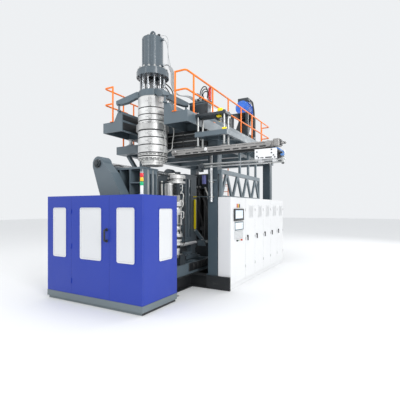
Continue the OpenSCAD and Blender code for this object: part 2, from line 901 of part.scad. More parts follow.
// Take-out beam with rail, drive motor, pulleys and the upright air tube
module robot_beam() {
    y0 = -90;
    y1 = 210;
    z0 = take_z1 - 120;
    tube_x = 1405;
    tube_y = ring_front - 50;
    air_r = 31;
    color("silver") {
        hollow([beam_x0, y0, z0], [beam_x1, y1, take_z1], 10);
        block([beam_x0 + 40, -30, z0 - 40], [beam_x1 + 70, 30, z0 + 1]);
        for (x = hang_x)
            block([x - 60, y0, take_z1 - 1], [x + 60, y1, take_z1 + 14]);
        bar_y(beam_x0 + 60, z0 + 60, y0 - 40, y0 + 1, 45);
        bar_y(beam_x1 - 70, z0 + 60, y0 - 60, y0 + 1, 60);
        soft_block([beam_x1 - 160, y1 - 1, z0 - 20], [beam_x1 - 20, y1 + 150, take_z1 - 10], 20);
        soft_block([beam_x1 - 1, -70, z0 + 16], [beam_x1 + 130, 130, take_z1 + 34], 24);
        bar_x(-20, z0 + 60, beam_x1 + 129, beam_x1 + 250, 17);
        bar_x(70, z0 + 96, beam_x1 + 129, beam_x1 + 220, 12);
        bar_z(tube_x, tube_y, 1992, 3220, air_r);
        for (z = [2080, 2420, 3120])
            block([tube_x - 45, tube_y, z], [tube_x + 45, ring_front - seat, z + 36]);
    }
}

// Carriage below the beam with the boom that reaches into the mould space
module take_out_carriage() {
    z0 = take_z1 - 120;
    x0 = 2620;
    x1 = 3060;
    plate_z0 = 2793;
    leg_z0 = 2745;
    rod_r = 17;
    gap = seat;
    color("whitesmoke") {
        block([x0, -170, plate_z0], [x1, -150, z0 - 42]);
        block([x0 + 30, -151, z0 - 150], [x1 - 30, 130, z0 - 130]);
        for (s = [-1, 1])
            block([x0 + 60, s * (30 + gap + 12) - 12, z0 - 131],
                [x1 - 60, s * (30 + gap + 12) + 12, z0 - 20]);
        block([x0 + 40, -60, leg_z0], [x0 + 120, 60, z0 - 149]);
        block([x1 - 120, -60, leg_z0], [x1 - 40, 60, z0 - 149]);
        for (y = [-36, 36], z = [2752])
            bar_x(y, z + 40, boom_x0, x1 - 20, rod_r);
        bar_x(0, 2736, boom_x0 + 60, x1 - 20, rod_r);
        block([boom_x0, -75, 2718], [boom_x0 + 50, 75, 2816]);
    }
}

// One gripper jaw, drawn on the side given by the sign
module jaw(side) {
    y = side * (jaw_stroke + 10);
    color("dimgray") {
        block([boom_x0 - 46, min(y, y + side * 26), 2640], [boom_x0 - seat, max(y, y + side * 26), 2800]);
        block([boom_x0 - 96, min(y, y + side * 26), 2640], [boom_x0 - 45, max(y, y + side * 26), 2690]);
    }
}

// Front gripper jaw
module jaw_front() {
    jaw(-1);
}

// Rear gripper jaw
module jaw_rear() {
    jaw(1);
}

// Welded mould platen with pockets at the back and a slotted face plate; the face looks to +Y
module platen_body() {
    half = platen_w / 2;
    face_t = 35;
    y0 = -platen_back;
    y1 = -face_y;
    rib_x = [0, 265];
    shelf_z = [cz + 530, cz - 530];
    groove = [[-830, -768], [-692, -630]];
    slot_n = 9;
    difference() {
        union() {
            block([-half, y0, platen_z0], [half, y1 - face_t + 1, platen_z1]);
            block([-half - 8, y1 - face_t, platen_z0 + 20], [half + 8, y1, platen_z1]);
            block([-half - 14, y0, platen_z1 - 26], [half + 14, y1 - face_t, platen_z1]);
        }
        for (s = [-1, 1]) {
            pocket(s > 0 ? platen_wall / 2 : -rib_x[1] + 12, rib_x[1] - 12 - platen_wall / 2,
                platen_z0 + 40, cz - 230);
            pocket(s > 0 ? platen_wall / 2 : -rib_x[1] + 12, rib_x[1] - 12 - platen_wall / 2,
                cz + 230, platen_z1 - 40);
            for (z = [[platen_z0 + 40, shelf_z[1] - 12], [shelf_z[1] + 12, shelf_z[0] - 12],
                [shelf_z[0] + 12, platen_z1 - 40]])
                pocket(s > 0 ? rib_x[1] + 12 : -half + platen_wall,
                    half - rib_x[1] - 12 - platen_wall, z[0], z[1]);
            for (g = groove)
                block([s > 0 ? half - 38 : -half - 1, g[0] + face_y - 550, platen_z0 + 130],
                    [s > 0 ? half + 1 : -half + 38, g[1] + face_y - 550, platen_z1 - 120]);
        }
        for (i = [1:slot_n])
            block([-half - 9, y1 - 22, platen_z0 + i * (platen_z1 - platen_z0) / (slot_n + 1) - 12],
                [half + 9, y1 + 1, platen_z0 + i * (platen_z1 - platen_z0) / (slot_n + 1) + 12]);
    }
}

// One pocket of a platen, cut from the back
module pocket(x, w, z0, z1) {
    block([x, -platen_back - 1, z0], [x + w, -platen_back + pocket_d, z1]);
}

// Legs of a platen with the slide shoes that straddle the rails
module platen_legs() {
    leg_w = 125;
    shoe_half = 95;
    shoe_z0 = bed_z1 + rail_h / 2;
    shoe_z1 = bed_z1 + rail_h + 80;
    half = platen_w / 2;
    y0 = -platen_back + 50;
    y1 = -face_y - 60;
    for (s = [-1, 1]) {
        block([s > 0 ? half - leg_w : -half, y0, shoe_z1 - 1],
            [s > 0 ? half : -half + leg_w, y1, platen_z0 + 1]);
        difference() {
            block([s * rail_x - shoe_half, y0 - 40, shoe_z0], [s * rail_x + shoe_half, y1 + 40, shoe_z1]);
            block([s * rail_x - rail_w / 2 - fit, y0 - 41, shoe_z0 - 1],
                [s * rail_x + rail_w / 2 + fit, y1 + 41, bed_z1 + rail_h + fit]);
        }
    }
}

// Front mould platen, which takes the clamp cylinder in its middle
module front_platen() {
    boss_r = clamp_cyl_d / 2 + 55;
    color("#6f7f8a")
        difference() {
            union() {
                platen_body();
                platen_legs();
            }
            bar_y(0, cz, -platen_back - 1, -platen_back + pocket_d, boss_r - 30);
        }
}

// Diagonal band outline in the XZ plane, point symmetric about the clamp centre
module diagonal_outline() {
    mid = 285;
    side = [[-tie_dx + 82, tie_dz + 82], [13, tie_dz - 194], [mid, 297], [mid - 15, -261],
        [tie_dx - 11, -413], [tie_dx + 150, -tie_dz + 60], [tie_dx + 150, -tie_dz - 40]];
    polygon(concat(side, [for (p = side) -p]));
    for (s = [-1, 1])
        translate([-s * tie_dx, s * tie_dz])
            circle(150);
}

// Diagonal beam from one tie bar to the other, between two Y planes
module diagonal_beam(y0, y1) {
    translate([0, y1, cz])
        rotate([90, 0, 0])
            linear_extrude(y1 - y0)
                diagonal_outline();
}

// Outer diagonal platen, which pulls on both tie bars
module outer_platen() {
    recess = 60;
    color("#8796a0")
        difference() {
            diagonal_beam(outer_y0, outer_y1);
            for (s = [-1, 1]) {
                bar_y(-s * tie_dx, cz + s * tie_dz, outer_y0 - 1, outer_y1 + 1, tie_d / 2);
                bar_y(-s * tie_dx, cz + s * tie_dz, outer_y0 - 1, outer_y0 + recess, 90);
            }
            bar_y(0, cz, outer_y0 - 1, outer_y1 + 1, clamp_cyl_d / 2);
        }
}

// Rear mould platen with its diagonal tie beam at the back
module rear_platen() {
    back_t = 180;
    y1 = platen_back + back_t;
    color("#6f7f8a")
        difference() {
            union() {
                mirror([0, 1, 0]) {
                    platen_body();
                    platen_legs();
                }
                diagonal_beam(platen_back - 1, y1);
                block([platen_w / 2 - 1, platen_back - 60, cz - 520], [platen_w / 2 + 26, platen_back - 20, cz + 230]);
            }
            for (s = [-1, 1])
                bar_y(-s * tie_dx, cz + s * tie_dz, platen_back - 90, y1 + 1, tie_d / 2);
            block([platen_w / 2 - 140, face_y + 50, bed_z1 + 200], [platen_w / 2 + 10, face_y + 310, platen_z0 - 1]);
        }
}

// Two tie bars with their round nuts
module tie_bars() {
    rear = platen_back + 180;
    nut_r = 86;
    color("silver")
        for (s = [-1, 1]) {
            bar_y(-s * tie_dx, cz + s * tie_dz, outer_y0 + 4, rear + 90, tie_d / 2);
            bar_y(-s * tie_dx, cz + s * tie_dz, outer_y0 + 10, outer_y0 + 60, nut_r);
            bar_y(-s * tie_dx, cz + s * tie_dz, rear, rear + 60, nut_r);
        }
}

// Barrel of the clamp cylinder, flanged to the outer platen
module clamp_cylinder() {
    y0 = outer_y0 - 190;
    y1 = -platen_back + 140;
    bore = 200;
    gland = 100;
    flange_t = 40;
    color("#6f7f8a")
        difference() {
            union() {
                bar_y(0, cz, y0, y1, clamp_cyl_d / 2);
                bar_y(0, cz, outer_y0 - flange_t, outer_y0, clamp_cyl_d / 2 + 60);
                bar_z(0, y0 + 60, cz + clamp_cyl_d / 2 - 10, cz + clamp_cyl_d / 2 + 50, 26);
            }
            bar_y(0, cz, y0 + 30, y1 - gland, bore / 2);
            bar_y(0, cz, y0 + 30, y1 + 1, clamp_rod_d / 2 + fit);
        }
}

// Piston and rod of the clamp cylinder
module clamp_rod() {
    y0 = outer_y0 - 190 + 35;
    y1 = -platen_back + pocket_d;
    piston_r = 100 - fit;
    color("silver") {
        bar_y(0, cz, y0, y1, clamp_rod_d / 2);
        bar_y(0, cz, y0, y0 + 40, piston_r);
        bar_y(0, cz, y1 - 40, y1, 130);
    }
}

// Cross beam of the blow pins on the bed, with a guide rail on top
module blow_base() {
    half = 850;
    w = 105;
    top = 700;
    color("#59656d") {
        block([-half, -w, bed_z1], [half, w, top]);
        block([-half + 20, -30, top - 1], [half - 20, 30, top + 30]);
        for (x = [-half, half - 30])
            block([x, -w, top - 1], [x + 30, w, top + 90]);
    }
}

// Blow pin column on its slide: stepped sleeves, head flange, side cylinder and valve block
module blow_pin(side) {
    x = side * pin_x;
    top = 700;
    slide_z = top + 15;
    sleeves = [[789, 870, 70], [869, 920, 78], [919, 1000, 58], [999, 1050, 122], [1049, 1150, 86],
        [1149, 1262, 104], [1261, 1300, 128], [1299, 1692, 46], [1691, 1732, 98], [1731, 1932, 70],
        [1931, 1972, 98], [1971, 2401, 60], [2400, 2450, 200], [2449, 2510, 150], [2509, 2585, 205],
        [2584, 2605, 84], [2604, pin_top, 34]];
    cyl = [x - side * 95, -150];
    color("silver") {
        difference() {
            block([x - 105, -95, slide_z], [x + 105, 95, 790]);
            block([x - 106, -30 - fit, slide_z - 1], [x + 106, 30 + fit, top + 30 + fit]);
        }
        for (c = sleeves)
            bar_z(x, 0, c[0], c[1], c[2]);
        for (a = [45:90:315])
            bar_z(x + 84 * cos(a), 84 * sin(a), 1299, 1692, 11);
        bar_z(cyl.x, cyl.y, 1985, 2401, 88);
        bar_z(cyl.x, cyl.y, 1940, 1986, 60);
        block([min(cyl.x, x) - 30, cyl.y - 30, 1945], [max(cyl.x, x) + 30, 20, 1968]);
        block([x + side * 70 - 60, -135, 1990], [x + side * 70 + 60, -55, 2290]);
    }
}

// Left blow pin
module blow_pin_left() {
    blow_pin(-1);
}

// Right blow pin
module blow_pin_right() {
    blow_pin(1);
}

// Frame of the guard: sill, grey skirt, corner posts and top rails
module guard_frame() {
    sill = 50;
    inset = 22;
    wall = 3;
    post = 50;
    skirt_out = 4;
    gh = guard_half;
    color("#5f6d75") {
        for (s = [-1, 1]) {
            block([s > 0 ? gh - inset - 60 : -gh + inset, guard_y0 + inset, 0],
                [s > 0 ? gh - inset : -gh + inset + 60, guard_y1 - inset, sill + 1]);
            block([s > 0 ? gh - panel_t : -gh - skirt_out, guard_y0 - skirt_out, sill],
                [s > 0 ? gh + skirt_out : -gh + panel_t, guard_y1, skirt_z]);
            for (y = [guard_y0 + panel_t + seat, guard_y1 - post])
                block([s > 0 ? gh - panel_t - post : -gh + panel_t + seat, y, sill],
                    [s > 0 ? gh - panel_t - seat : -gh + panel_t + post, y + post, guard_z1 - 6]);
            block([s > 0 ? gh - panel_t - post : -gh + panel_t + seat, guard_y0 + panel_t + seat,
                guard_z1 - 56], [s > 0 ? gh - panel_t - seat : -gh + panel_t + post, guard_y1, guard_z1 - 6]);
            block([s * 600 - 60, guard_y0 + inset + 59, 0], [s * 600 + 60, skid_front - seat, 16]);
        }
        block([-gh + inset, guard_y0 + inset, 0], [gh - inset, guard_y0 + inset + 60, sill + 1]);
        block([-gh, guard_y0 - skirt_out, sill], [gh, guard_y0 + panel_t, skirt_z]);
        block([-gh, guard_y0 + panel_t - 1, sill], [gh, guard_y0 + panel_t + 10, skirt_z - 20]);
        block([-gh + panel_t + post - 1, guard_y0 + panel_t + seat, guard_z1 - 56],
            [gh - panel_t - post + 1, guard_y0 + panel_t + 51, guard_z1 - 6]);
        for (x = [gdoor_x0 - 45, gdoor_x1 + 5])
            block([x, guard_y0 + panel_t + seat, sill - 1], [x + 40, guard_y0 + panel_t + 41, guard_z1 - 50]);
    }
}

// Panel in the XZ plane with a rounded window opening
module front_panel(x0, x1, w0, w1) {
    gap = 2;
    translate([0, guard_y0 + panel_t, 0])
        rotate([90, 0, 0])
            linear_extrude(panel_t)
                difference() {
                    translate([x0 + gap, skirt_z + gap])
                        square([x1 - x0 - 2 * gap, guard_z1 - skirt_z - gap]);
                    translate([w0, win_z0])
                        rounded_square([w1 - w0, win_z1 - win_z0], 40);
                }
}

// Pane with its rubber edge, one solid, in the XZ plane
module front_pane(w0, w1) {
    lip = 14;
    translate([0, guard_y0 + panel_t - 8, 0])
        rotate([90, 0, 0])
            linear_extrude(12)
                translate([w0 + seat, win_z0 + seat])
                    rounded_square([w1 - w0 - 2 * seat, win_z1 - win_z0 - 2 * seat], 40 - seat);
    translate([0, guard_y0, 0])
        rotate([90, 0, 0])
            linear_extrude(4)
                difference() {
                    translate([w0 - lip, win_z0 - lip])
                        rounded_square([w1 - w0 + 2 * lip, win_z1 - win_z0 + 2 * lip], 40 + lip);
                    translate([w0 + lip, win_z0 + lip])
                        rounded_square([w1 - w0 - 2 * lip, win_z1 - win_z0 - 2 * lip], 40 - lip);
                }
    translate([0, guard_y0 + panel_t - 9, 0])
        rotate([90, 0, 0])
            linear_extrude(panel_t - 8)
                difference() {
                    translate([w0 + seat, win_z0 + seat])
                        rounded_square([w1 - w0 - 2 * seat, win_z1 - win_z0 - 2 * seat], 40 - seat);
                    translate([w0 + lip, win_z0 + lip])
                        rounded_square([w1 - w0 - 2 * lip, win_z1 - win_z0 - 2 * lip], 40 - lip);
                }
}

side_win = [-1436, -1020];

// Fixed blue panels of the guard
module guard_panels() {
    color("#2a45a5") {
        front_panel(-guard_half, gdoor_x0, -1070, -682);
        front_panel(gdoor_x1, guard_half, 666, 1077);
        for (s = [-1, 1])
            side_panel(s);
    }
}

// Side panel with its window opening
module side_panel(s) {
    gap = 1;
    x = s > 0 ? guard_half - panel_t : -guard_half;
    translate([x, 0, 0])
        rotate([90, 0, 90])
            linear_extrude(panel_t)
                difference() {
                    translate([guard_y0 + panel_t + gap, skirt_z + 2])
                        square([guard_y1 - guard_y0 - panel_t - gap, guard_z1 - skirt_z - 2]);
                    translate([side_win[0], win_z0])
                        rounded_square([side_win[1] - side_win[0], win_z1 - win_z0], 40);
                }
}

// Pane of a side panel with its rubber edge
module side_pane(s) {
    lip = 14;
    w = side_win[1] - side_win[0];
    h = win_z1 - win_z0;
    x = s > 0 ? guard_half - 22 : -guard_half + 10;
    ring_x = s > 0 ? guard_half - 12 : -guard_half - 4;
    translate([x, 0, 0])
        rotate([90, 0, 90])
            linear_extrude(12)
                translate([side_win[0] + seat, win_z0 + seat])
                    rounded_square([w - 2 * seat, h - 2 * seat], 40 - seat);
    translate([ring_x, 0, 0])
        rotate([90, 0, 90])
            linear_extrude(16)
                difference() {
                    translate([side_win[0] + seat, win_z0 + seat])
                        rounded_square([w - 2 * seat, h - 2 * seat], 40 - seat);
                    translate([side_win[0] + lip, win_z0 + lip])
                        rounded_square([w - 2 * lip, h - 2 * lip], 40 - lip);
                }
    translate([s > 0 ? guard_half : -guard_half - 4, 0, 0])
        rotate([90, 0, 90])
            linear_extrude(4)
                difference() {
                    translate([side_win[0] - lip, win_z0 - lip])
                        rounded_square([w + 2 * lip, h + 2 * lip], 40 + lip);
                    translate([side_win[0] + lip, win_z0 + lip])
                        rounded_square([w - 2 * lip, h - 2 * lip], 40 - lip);
                }
}

// Panes of the four fixed panels
module guard_windows() {
    color("ghostwhite") {
        front_pane(-1070, -682);
        front_pane(666, 1077);
        for (s = [-1, 1])
            side_pane(s);
    }
}

// Hinged door of the guard with its pull handle
module guard_door() {
    handle_x = gdoor_x1 - 60;
    z0 = 1233;
    z1 = 1461;
    reach = 62;
    color("#2a45a5") {
        front_panel(gdoor_x0, gdoor_x1, -282, 283);
        bar_z(handle_x, guard_y0 - reach, z0, z1, 13);
        for (z = [z0, z1 - 26])
            block([handle_x - 13, guard_y0 - reach, z], [handle_x + 13, guard_y0 + 1, z + 26]);
    }
}

// Pane of the guard door
module door_window() {
    color("ghostwhite")
        front_pane(-282, 283);
}

// Signal tower with three lenses on a pole
module stack_light() {
    x = guard_half - 75;
    y = guard_y0 + 75;
    z = guard_z1 - 6;
    r = 33;
    color("white") {
        bar_z(x, y, z, z + 12, 40);
        bar_z(x, y, z + 11, z + 150, 30);
        for (i = [0:2])
            bar_z(x, y, z + 152 + i * 66, z + 152 + i * 66 + 60, r);
        bar_z(x, y, z + 149, z + 350, r - 6);
        bar_z(x, y, z + 349, z + 362, r - 2);
    }
}

// First Y of cabinet number i
function cab_y(i) = i == 0 ? cab_y0 : cab_y0 + cab_w0 + (i - 1) * cab_w;
// Width of cabinet number i
function cab_width(i) = i == 0 ? cab_w0 : cab_w;

// Row of six cabinet bodies on one plinth, each with a mounting plate
module cabinets() {
    x1 = cab_x1 - door_t - seat;
    color("white") {
        block([cab_x0 + 20, cab_y0 + 4, 0], [x1 - 20, cab_y(6) - 4, plinth_h + 1]);
        for (i = [0:5]) {
            y0 = cab_y(i);
            y1 = y0 + cab_width(i);
            difference() {
                block([cab_x0, y0, plinth_h], [x1, y1, cab_z1]);
                block([cab_x0 + cab_wall, y0 + cab_wall, plinth_h + cab_wall],
                    [x1 + 1, y1 - cab_wall, cab_z1 - cab_wall]);
            }
            block([cab_x0 + 30, y0 + 60, plinth_h + 160], [cab_x0 + 40, y1 - 60, cab_z1 - 160]);
            for (z = [plinth_h + 200, cab_z1 - 220])
                block([cab_x0 + 7, y0 + 80, z], [cab_x0 + 31, y1 - 80, z + 20]);
        }
    }
}

// Door blank of cabinet number i
module cab_door(i) {
    y0 = cab_y(i) + 3;
    y1 = cab_y(i) + cab_width(i) - 3;
    soft_door([cab_x1 - door_t, y0, plinth_h + 6], [cab_x1, y1, cab_z1 - 4]);
}

// Folded door blank
module soft_door(p, q) {
    block(p, q);
}

// Cabinet door with a louvred filter vent
module vent_door(i) {
    mid = cab_y(i) + cab_w / 2 + 40;
    vent = 300;
    z0 = 1595;
    slat_n = 9;
    color("white")
        difference() {
            cab_door(i);
            for (k = [0:slat_n - 1])
                block([cab_x1 - 9, mid - vent / 2 + 20, z0 + 22 + k * 30],
                    [cab_x1 + 1, mid + vent / 2 - 20, z0 + 22 + k * 30 + 14]);
            bar_x(cab_y(i) + 130, handle_z, cab_x1 - door_t - 1, cab_x1 + 1, 14 + fit);
        }
}

handle_z = 1150;

// Door of the operating cabinet with two screen bezels and a key field
module door_1() {
    y0 = cab_y0 + 170;
    w = 560;
    color("white")
        difference() {
            union() {
                cab_door(0);
                block([cab_x1 - 1, y0, 1552], [cab_x1 + 26, y0 + w, 1822]);
                block([cab_x1 - 1, y0 + 20, 1326], [cab_x1 + 20, y0 + w - 6, 1524]);
                block([cab_x1 - 1, y0 + 20, 1122], [cab_x1 + 8, y0 + w - 6, 1312]);
            }
            block([cab_x1 + 18, y0 + 60, 1600], [cab_x1 + 27, y0 + w - 60, 1790]);
            block([cab_x1 + 14, y0 + 60, 1350], [cab_x1 + 21, y0 + w - 46, 1500]);
            bar_x(button_y[0], button_z, cab_x1 - door_t - 1, cab_x1 + 1, 11 + fit);
            bar_x(button_y[1], button_z, cab_x1 - door_t - 1, cab_x1 + 1, 11 + fit);
        }
}

button_z = 1088;
button_y = [740, 1004];

// Doors of the five switch cabinets
module door_2() {
    vent_door(1);
}

module door_3() {
    vent_door(2);
}

module door_4() {
    vent_door(3);
}

module door_5() {
    vent_door(4);
}

module door_6() {
    vent_door(5);
}

// Swing handle of cabinet door number i
module swing_handle(i) {
    y = cab_y(i) + 130;
    color("#3a4148") {
        bar_x(y, handle_z, cab_x1 - door_t, cab_x1 + 24, 14);
        bar_x(y, handle_z, cab_x1 + 0.4, cab_x1 + 16, 24);
        block([cab_x1 + 12, y - 13, handle_z - 110], [cab_x1 + 30, y + 13, handle_z + 18]);
    }
}

module handle_2() {
    swing_handle(1);
}

module handle_3() {
    swing_handle(2);
}

module handle_4() {
    swing_handle(3);
}

module handle_5() {
    swing_handle(4);
}

module handle_6() {
    swing_handle(5);
}

// Mushroom emergency stop button
module e_stop() {
    color("red") {
        bar_x(button_y[1], button_z, cab_x1 - door_t, cab_x1 + 24, 11);
        bar_x(button_y[1], button_z, cab_x1 + 12, cab_x1 + 32, 24);
    }
}

// Rotary selector knob
module selector() {
    color("#59656d") {
        bar_x(button_y[0], button_z, cab_x1 - door_t, cab_x1 + 10, 11);
        bar_x(button_y[0], button_z, cab_x1 + 1, cab_x1 + 16, 20);
        block([cab_x1 + 10, button_y[0] - 5, button_z - 20], [cab_x1 + 30, button_y[0] + 5, button_z + 20]);
    }
}

// Lattice beam above the cabinets, bolted to the column
module truss() {
    x = cab_x0 + 54;
    w = 56;
    y0 = 400;
    y1 = 3000;
    bays = 4;
    z0 = cab_z1 + seat;
    z1 = 2722;
    chord = 100;
    pitch = (y1 - y0) / bays;
    color("lightslategray") {
        block([x - w / 2, y0, z1 - chord], [x + w / 2, y1, z1]);
        block([x - w / 2, y0, z0], [x + w / 2, y1, z0 + 40]);
        for (y = [y0, y1 - 60])
            block([x - w / 2, y, z0], [x + w / 2, y + 60, z1]);
        for (i = [0:bays - 1]) {
            strut_yz(x, [y0 + i * pitch + 60, z0 + 62], [y0 + (i + 0.5) * pitch, z1 - 60], 46, 72);
            strut_yz(x, [y0 + (i + 0.5) * pitch, z1 - 60], [y0 + (i + 1) * pitch - 60, z0 + 62], 46, 72);
        }
        for (y = [1500, 2100, 2686])
            block([x - 26, y, z1 - 1], [x + 26, y + 60, 3388]);
        block([ring_half, y0, z1 - chord], [x - w / 2 + 1, y0 + 60, z1 - 10]);
    }
}

// Oil tank with its pump motor and valve block inside the frame
module hydraulic_unit() {
    p = [-1000, tank_y, base_h];
    s = [1700, tank_l, 900];
    color("#3c464c") {
        block(p, p + s);
        block(p + [-15, -15, s.z - 1], p + [s.x + 15, s.y + 15, s.z + 20]);
        for (i = [0, 1]) {
            bar_y(p.x + 400 + i * 800, p.z + s.z + 230, p.y + 300, p.y + 900, 190);
            bar_y(p.x + 400 + i * 800, p.z + s.z + 230, p.y + 900 - 1, p.y + 1180, 110);
            block([p.x + 260 + i * 800, p.y + 340, p.z + s.z + 19],
                [p.x + 540 + i * 800, p.y + 860, p.z + s.z + 80]);
        }
        block(p + [s.x - 260, 100, s.z + 19], p + [s.x - 60, 700, s.z + 340]);
        bar_z(p.x + 120, p.y + 160, p.z + s.z + 19, p.z + s.z + 140, 60);
        block([-20, p.y - 290, p.z + 20], [440, p.y + 1, p.z + 620]);
        for (x = [70, 350]) {
            bar_z(x, p.y - 150, p.z + 619, 2330, 95);
            bar_z(x, p.y - 150, 2329, 2400, 60);
        }
        block([-20, p.y - 250, 2399], [440, p.y - 30, 2820]);
        bar_z(350, p.y - 330, 2520, 2780, 58);
        block([310, p.y - 330, 2600], [390, p.y - 249, 2680]);
        block([20, p.y - 200, 1200], [400, p.y - 60, 1290]);
    }
}

base_frame();
clamp_bed();
columns();
ring_frame();
platform_frame();
head_spider();
head_barrel();
heater_bands();
die_ring();
die_core();
head_ram();
head_tie_rods();
head_cylinder();
extruder_barrel();
extruder_screw();
gearbox();
drive_motor();
belt_guard();
hopper();
servo_manifold();
gas_bottle();
railing_right();
railing_left();
walkway_right();
robot_hanger();
robot_beam();
take_out_carriage();
jaw_front();
jaw_rear();
front_platen();
rear_platen();
outer_platen();
tie_bars();
clamp_cylinder();
clamp_rod();
blow_base();
blow_pin_left();
blow_pin_right();
guard_frame();
guard_panels();
guard_windows();
guard_door();
door_window();
stack_light();
cabinets();
truss();
hydraulic_unit();
door_1();
door_2();
door_3();
door_4();
door_5();
door_6();
handle_2();
handle_3();
handle_4();
handle_5();
handle_6();
e_stop();
selector();
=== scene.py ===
import math

import bmesh
import bpy
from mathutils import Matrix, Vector


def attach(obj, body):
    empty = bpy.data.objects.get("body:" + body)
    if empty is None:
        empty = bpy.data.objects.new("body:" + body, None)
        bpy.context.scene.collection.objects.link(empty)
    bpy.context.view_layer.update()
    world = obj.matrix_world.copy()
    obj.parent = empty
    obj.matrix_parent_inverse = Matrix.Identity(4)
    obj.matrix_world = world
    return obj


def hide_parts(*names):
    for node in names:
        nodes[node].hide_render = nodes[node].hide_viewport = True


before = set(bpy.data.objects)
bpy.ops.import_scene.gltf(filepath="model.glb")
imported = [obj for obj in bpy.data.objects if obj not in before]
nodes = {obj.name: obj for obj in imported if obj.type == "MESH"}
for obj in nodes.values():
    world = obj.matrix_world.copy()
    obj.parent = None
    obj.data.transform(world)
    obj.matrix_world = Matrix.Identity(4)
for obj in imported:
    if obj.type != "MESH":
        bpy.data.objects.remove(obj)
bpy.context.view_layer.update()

# Studio
# The machine stands on a plain pale floor in front of a pale wall-less backdrop.
# Large soft lights stand left, right and above, as round a product on a photo stage.
bpy.ops.object.select_all(action="DESELECT")
bpy.ops.mesh.primitive_grid_add(x_subdivisions=4, y_subdivisions=4, size=90, location=(0, 10, -0.001))
studio_floor = bpy.context.object
studio_floor.name = "studio_floor"
pale_floor = bpy.data.materials.new("pale_floor")
pale_floor.use_nodes = True
floor_shader = pale_floor.node_tree.nodes["Principled BSDF"]
floor_shader.inputs["Base Color"].default_value = (0.84, 0.845, 0.85, 1)
floor_shader.inputs["Roughness"].default_value = 0.62
studio_floor.data.materials.append(pale_floor)

sky = bpy.data.worlds.new("studio_sky")
sky.use_nodes = True
sky.node_tree.nodes["Background"].inputs["Color"].default_value = (0.93, 0.95, 0.97, 1)
sky.node_tree.nodes["Background"].inputs["Strength"].default_value = 0.92
bpy.context.scene.world = sky
bpy.context.scene.view_settings.view_transform = "Standard"

for lamp_name, place, aim, size, watts in (
    ("key_light", (11.5, -7.0, 7.5), (0.6, 0.5, 2.4), 4.0, 700),
    ("fill_light", (-9.0, -8.5, 6.0), (0, 0.5, 2.4), 5.0, 90),
    ("top_light", (0.5, 1.0, 12.0), (0, 1.0, 3.0), 6.0, 380),
    ("rear_light", (6.0, 13.0, 7.0), (0.5, 2.5, 3.0), 5.0, 300),
):
    bpy.ops.object.light_add(type="AREA", location=place)
    lamp = bpy.context.object
    lamp.name = lamp_name
    lamp.data.size = size
    lamp.data.energy = watts
    lamp.rotation_euler = (Vector(aim) - Vector(place)).to_track_quat("-Z", "Y").to_euler()
for strip_name, place, watts in (
    ("left_strip", (-2.0, -10.0, 10.0), 70),
    ("right_strip", (9.5, -5.0, 10.0), 130),
):
    bpy.ops.object.light_add(type="AREA", location=place)
    strip = bpy.context.object
    strip.name = strip_name
    strip.data.shape = "RECTANGLE"
    strip.data.size = 0.8
    strip.data.size_y = 9.0
    strip.data.energy = watts
    strip.rotation_euler = (Vector((0, 0, place[2] - 2)) - Vector(place)).to_track_quat("-Z", "Y").to_euler()

# Camera
# The camera stands at eye height, level, off the machine's right front corner.
bpy.ops.object.camera_add(location=(4.815, -6.252, 1.85), rotation=(math.radians(90), 0, math.radians(29.36)))
camera = bpy.context.object
camera.data.lens = 29.34
camera.data.sensor_width = 36
camera.data.shift_y = 0.01925
camera.data.clip_end = 200
bpy.context.scene.camera = camera


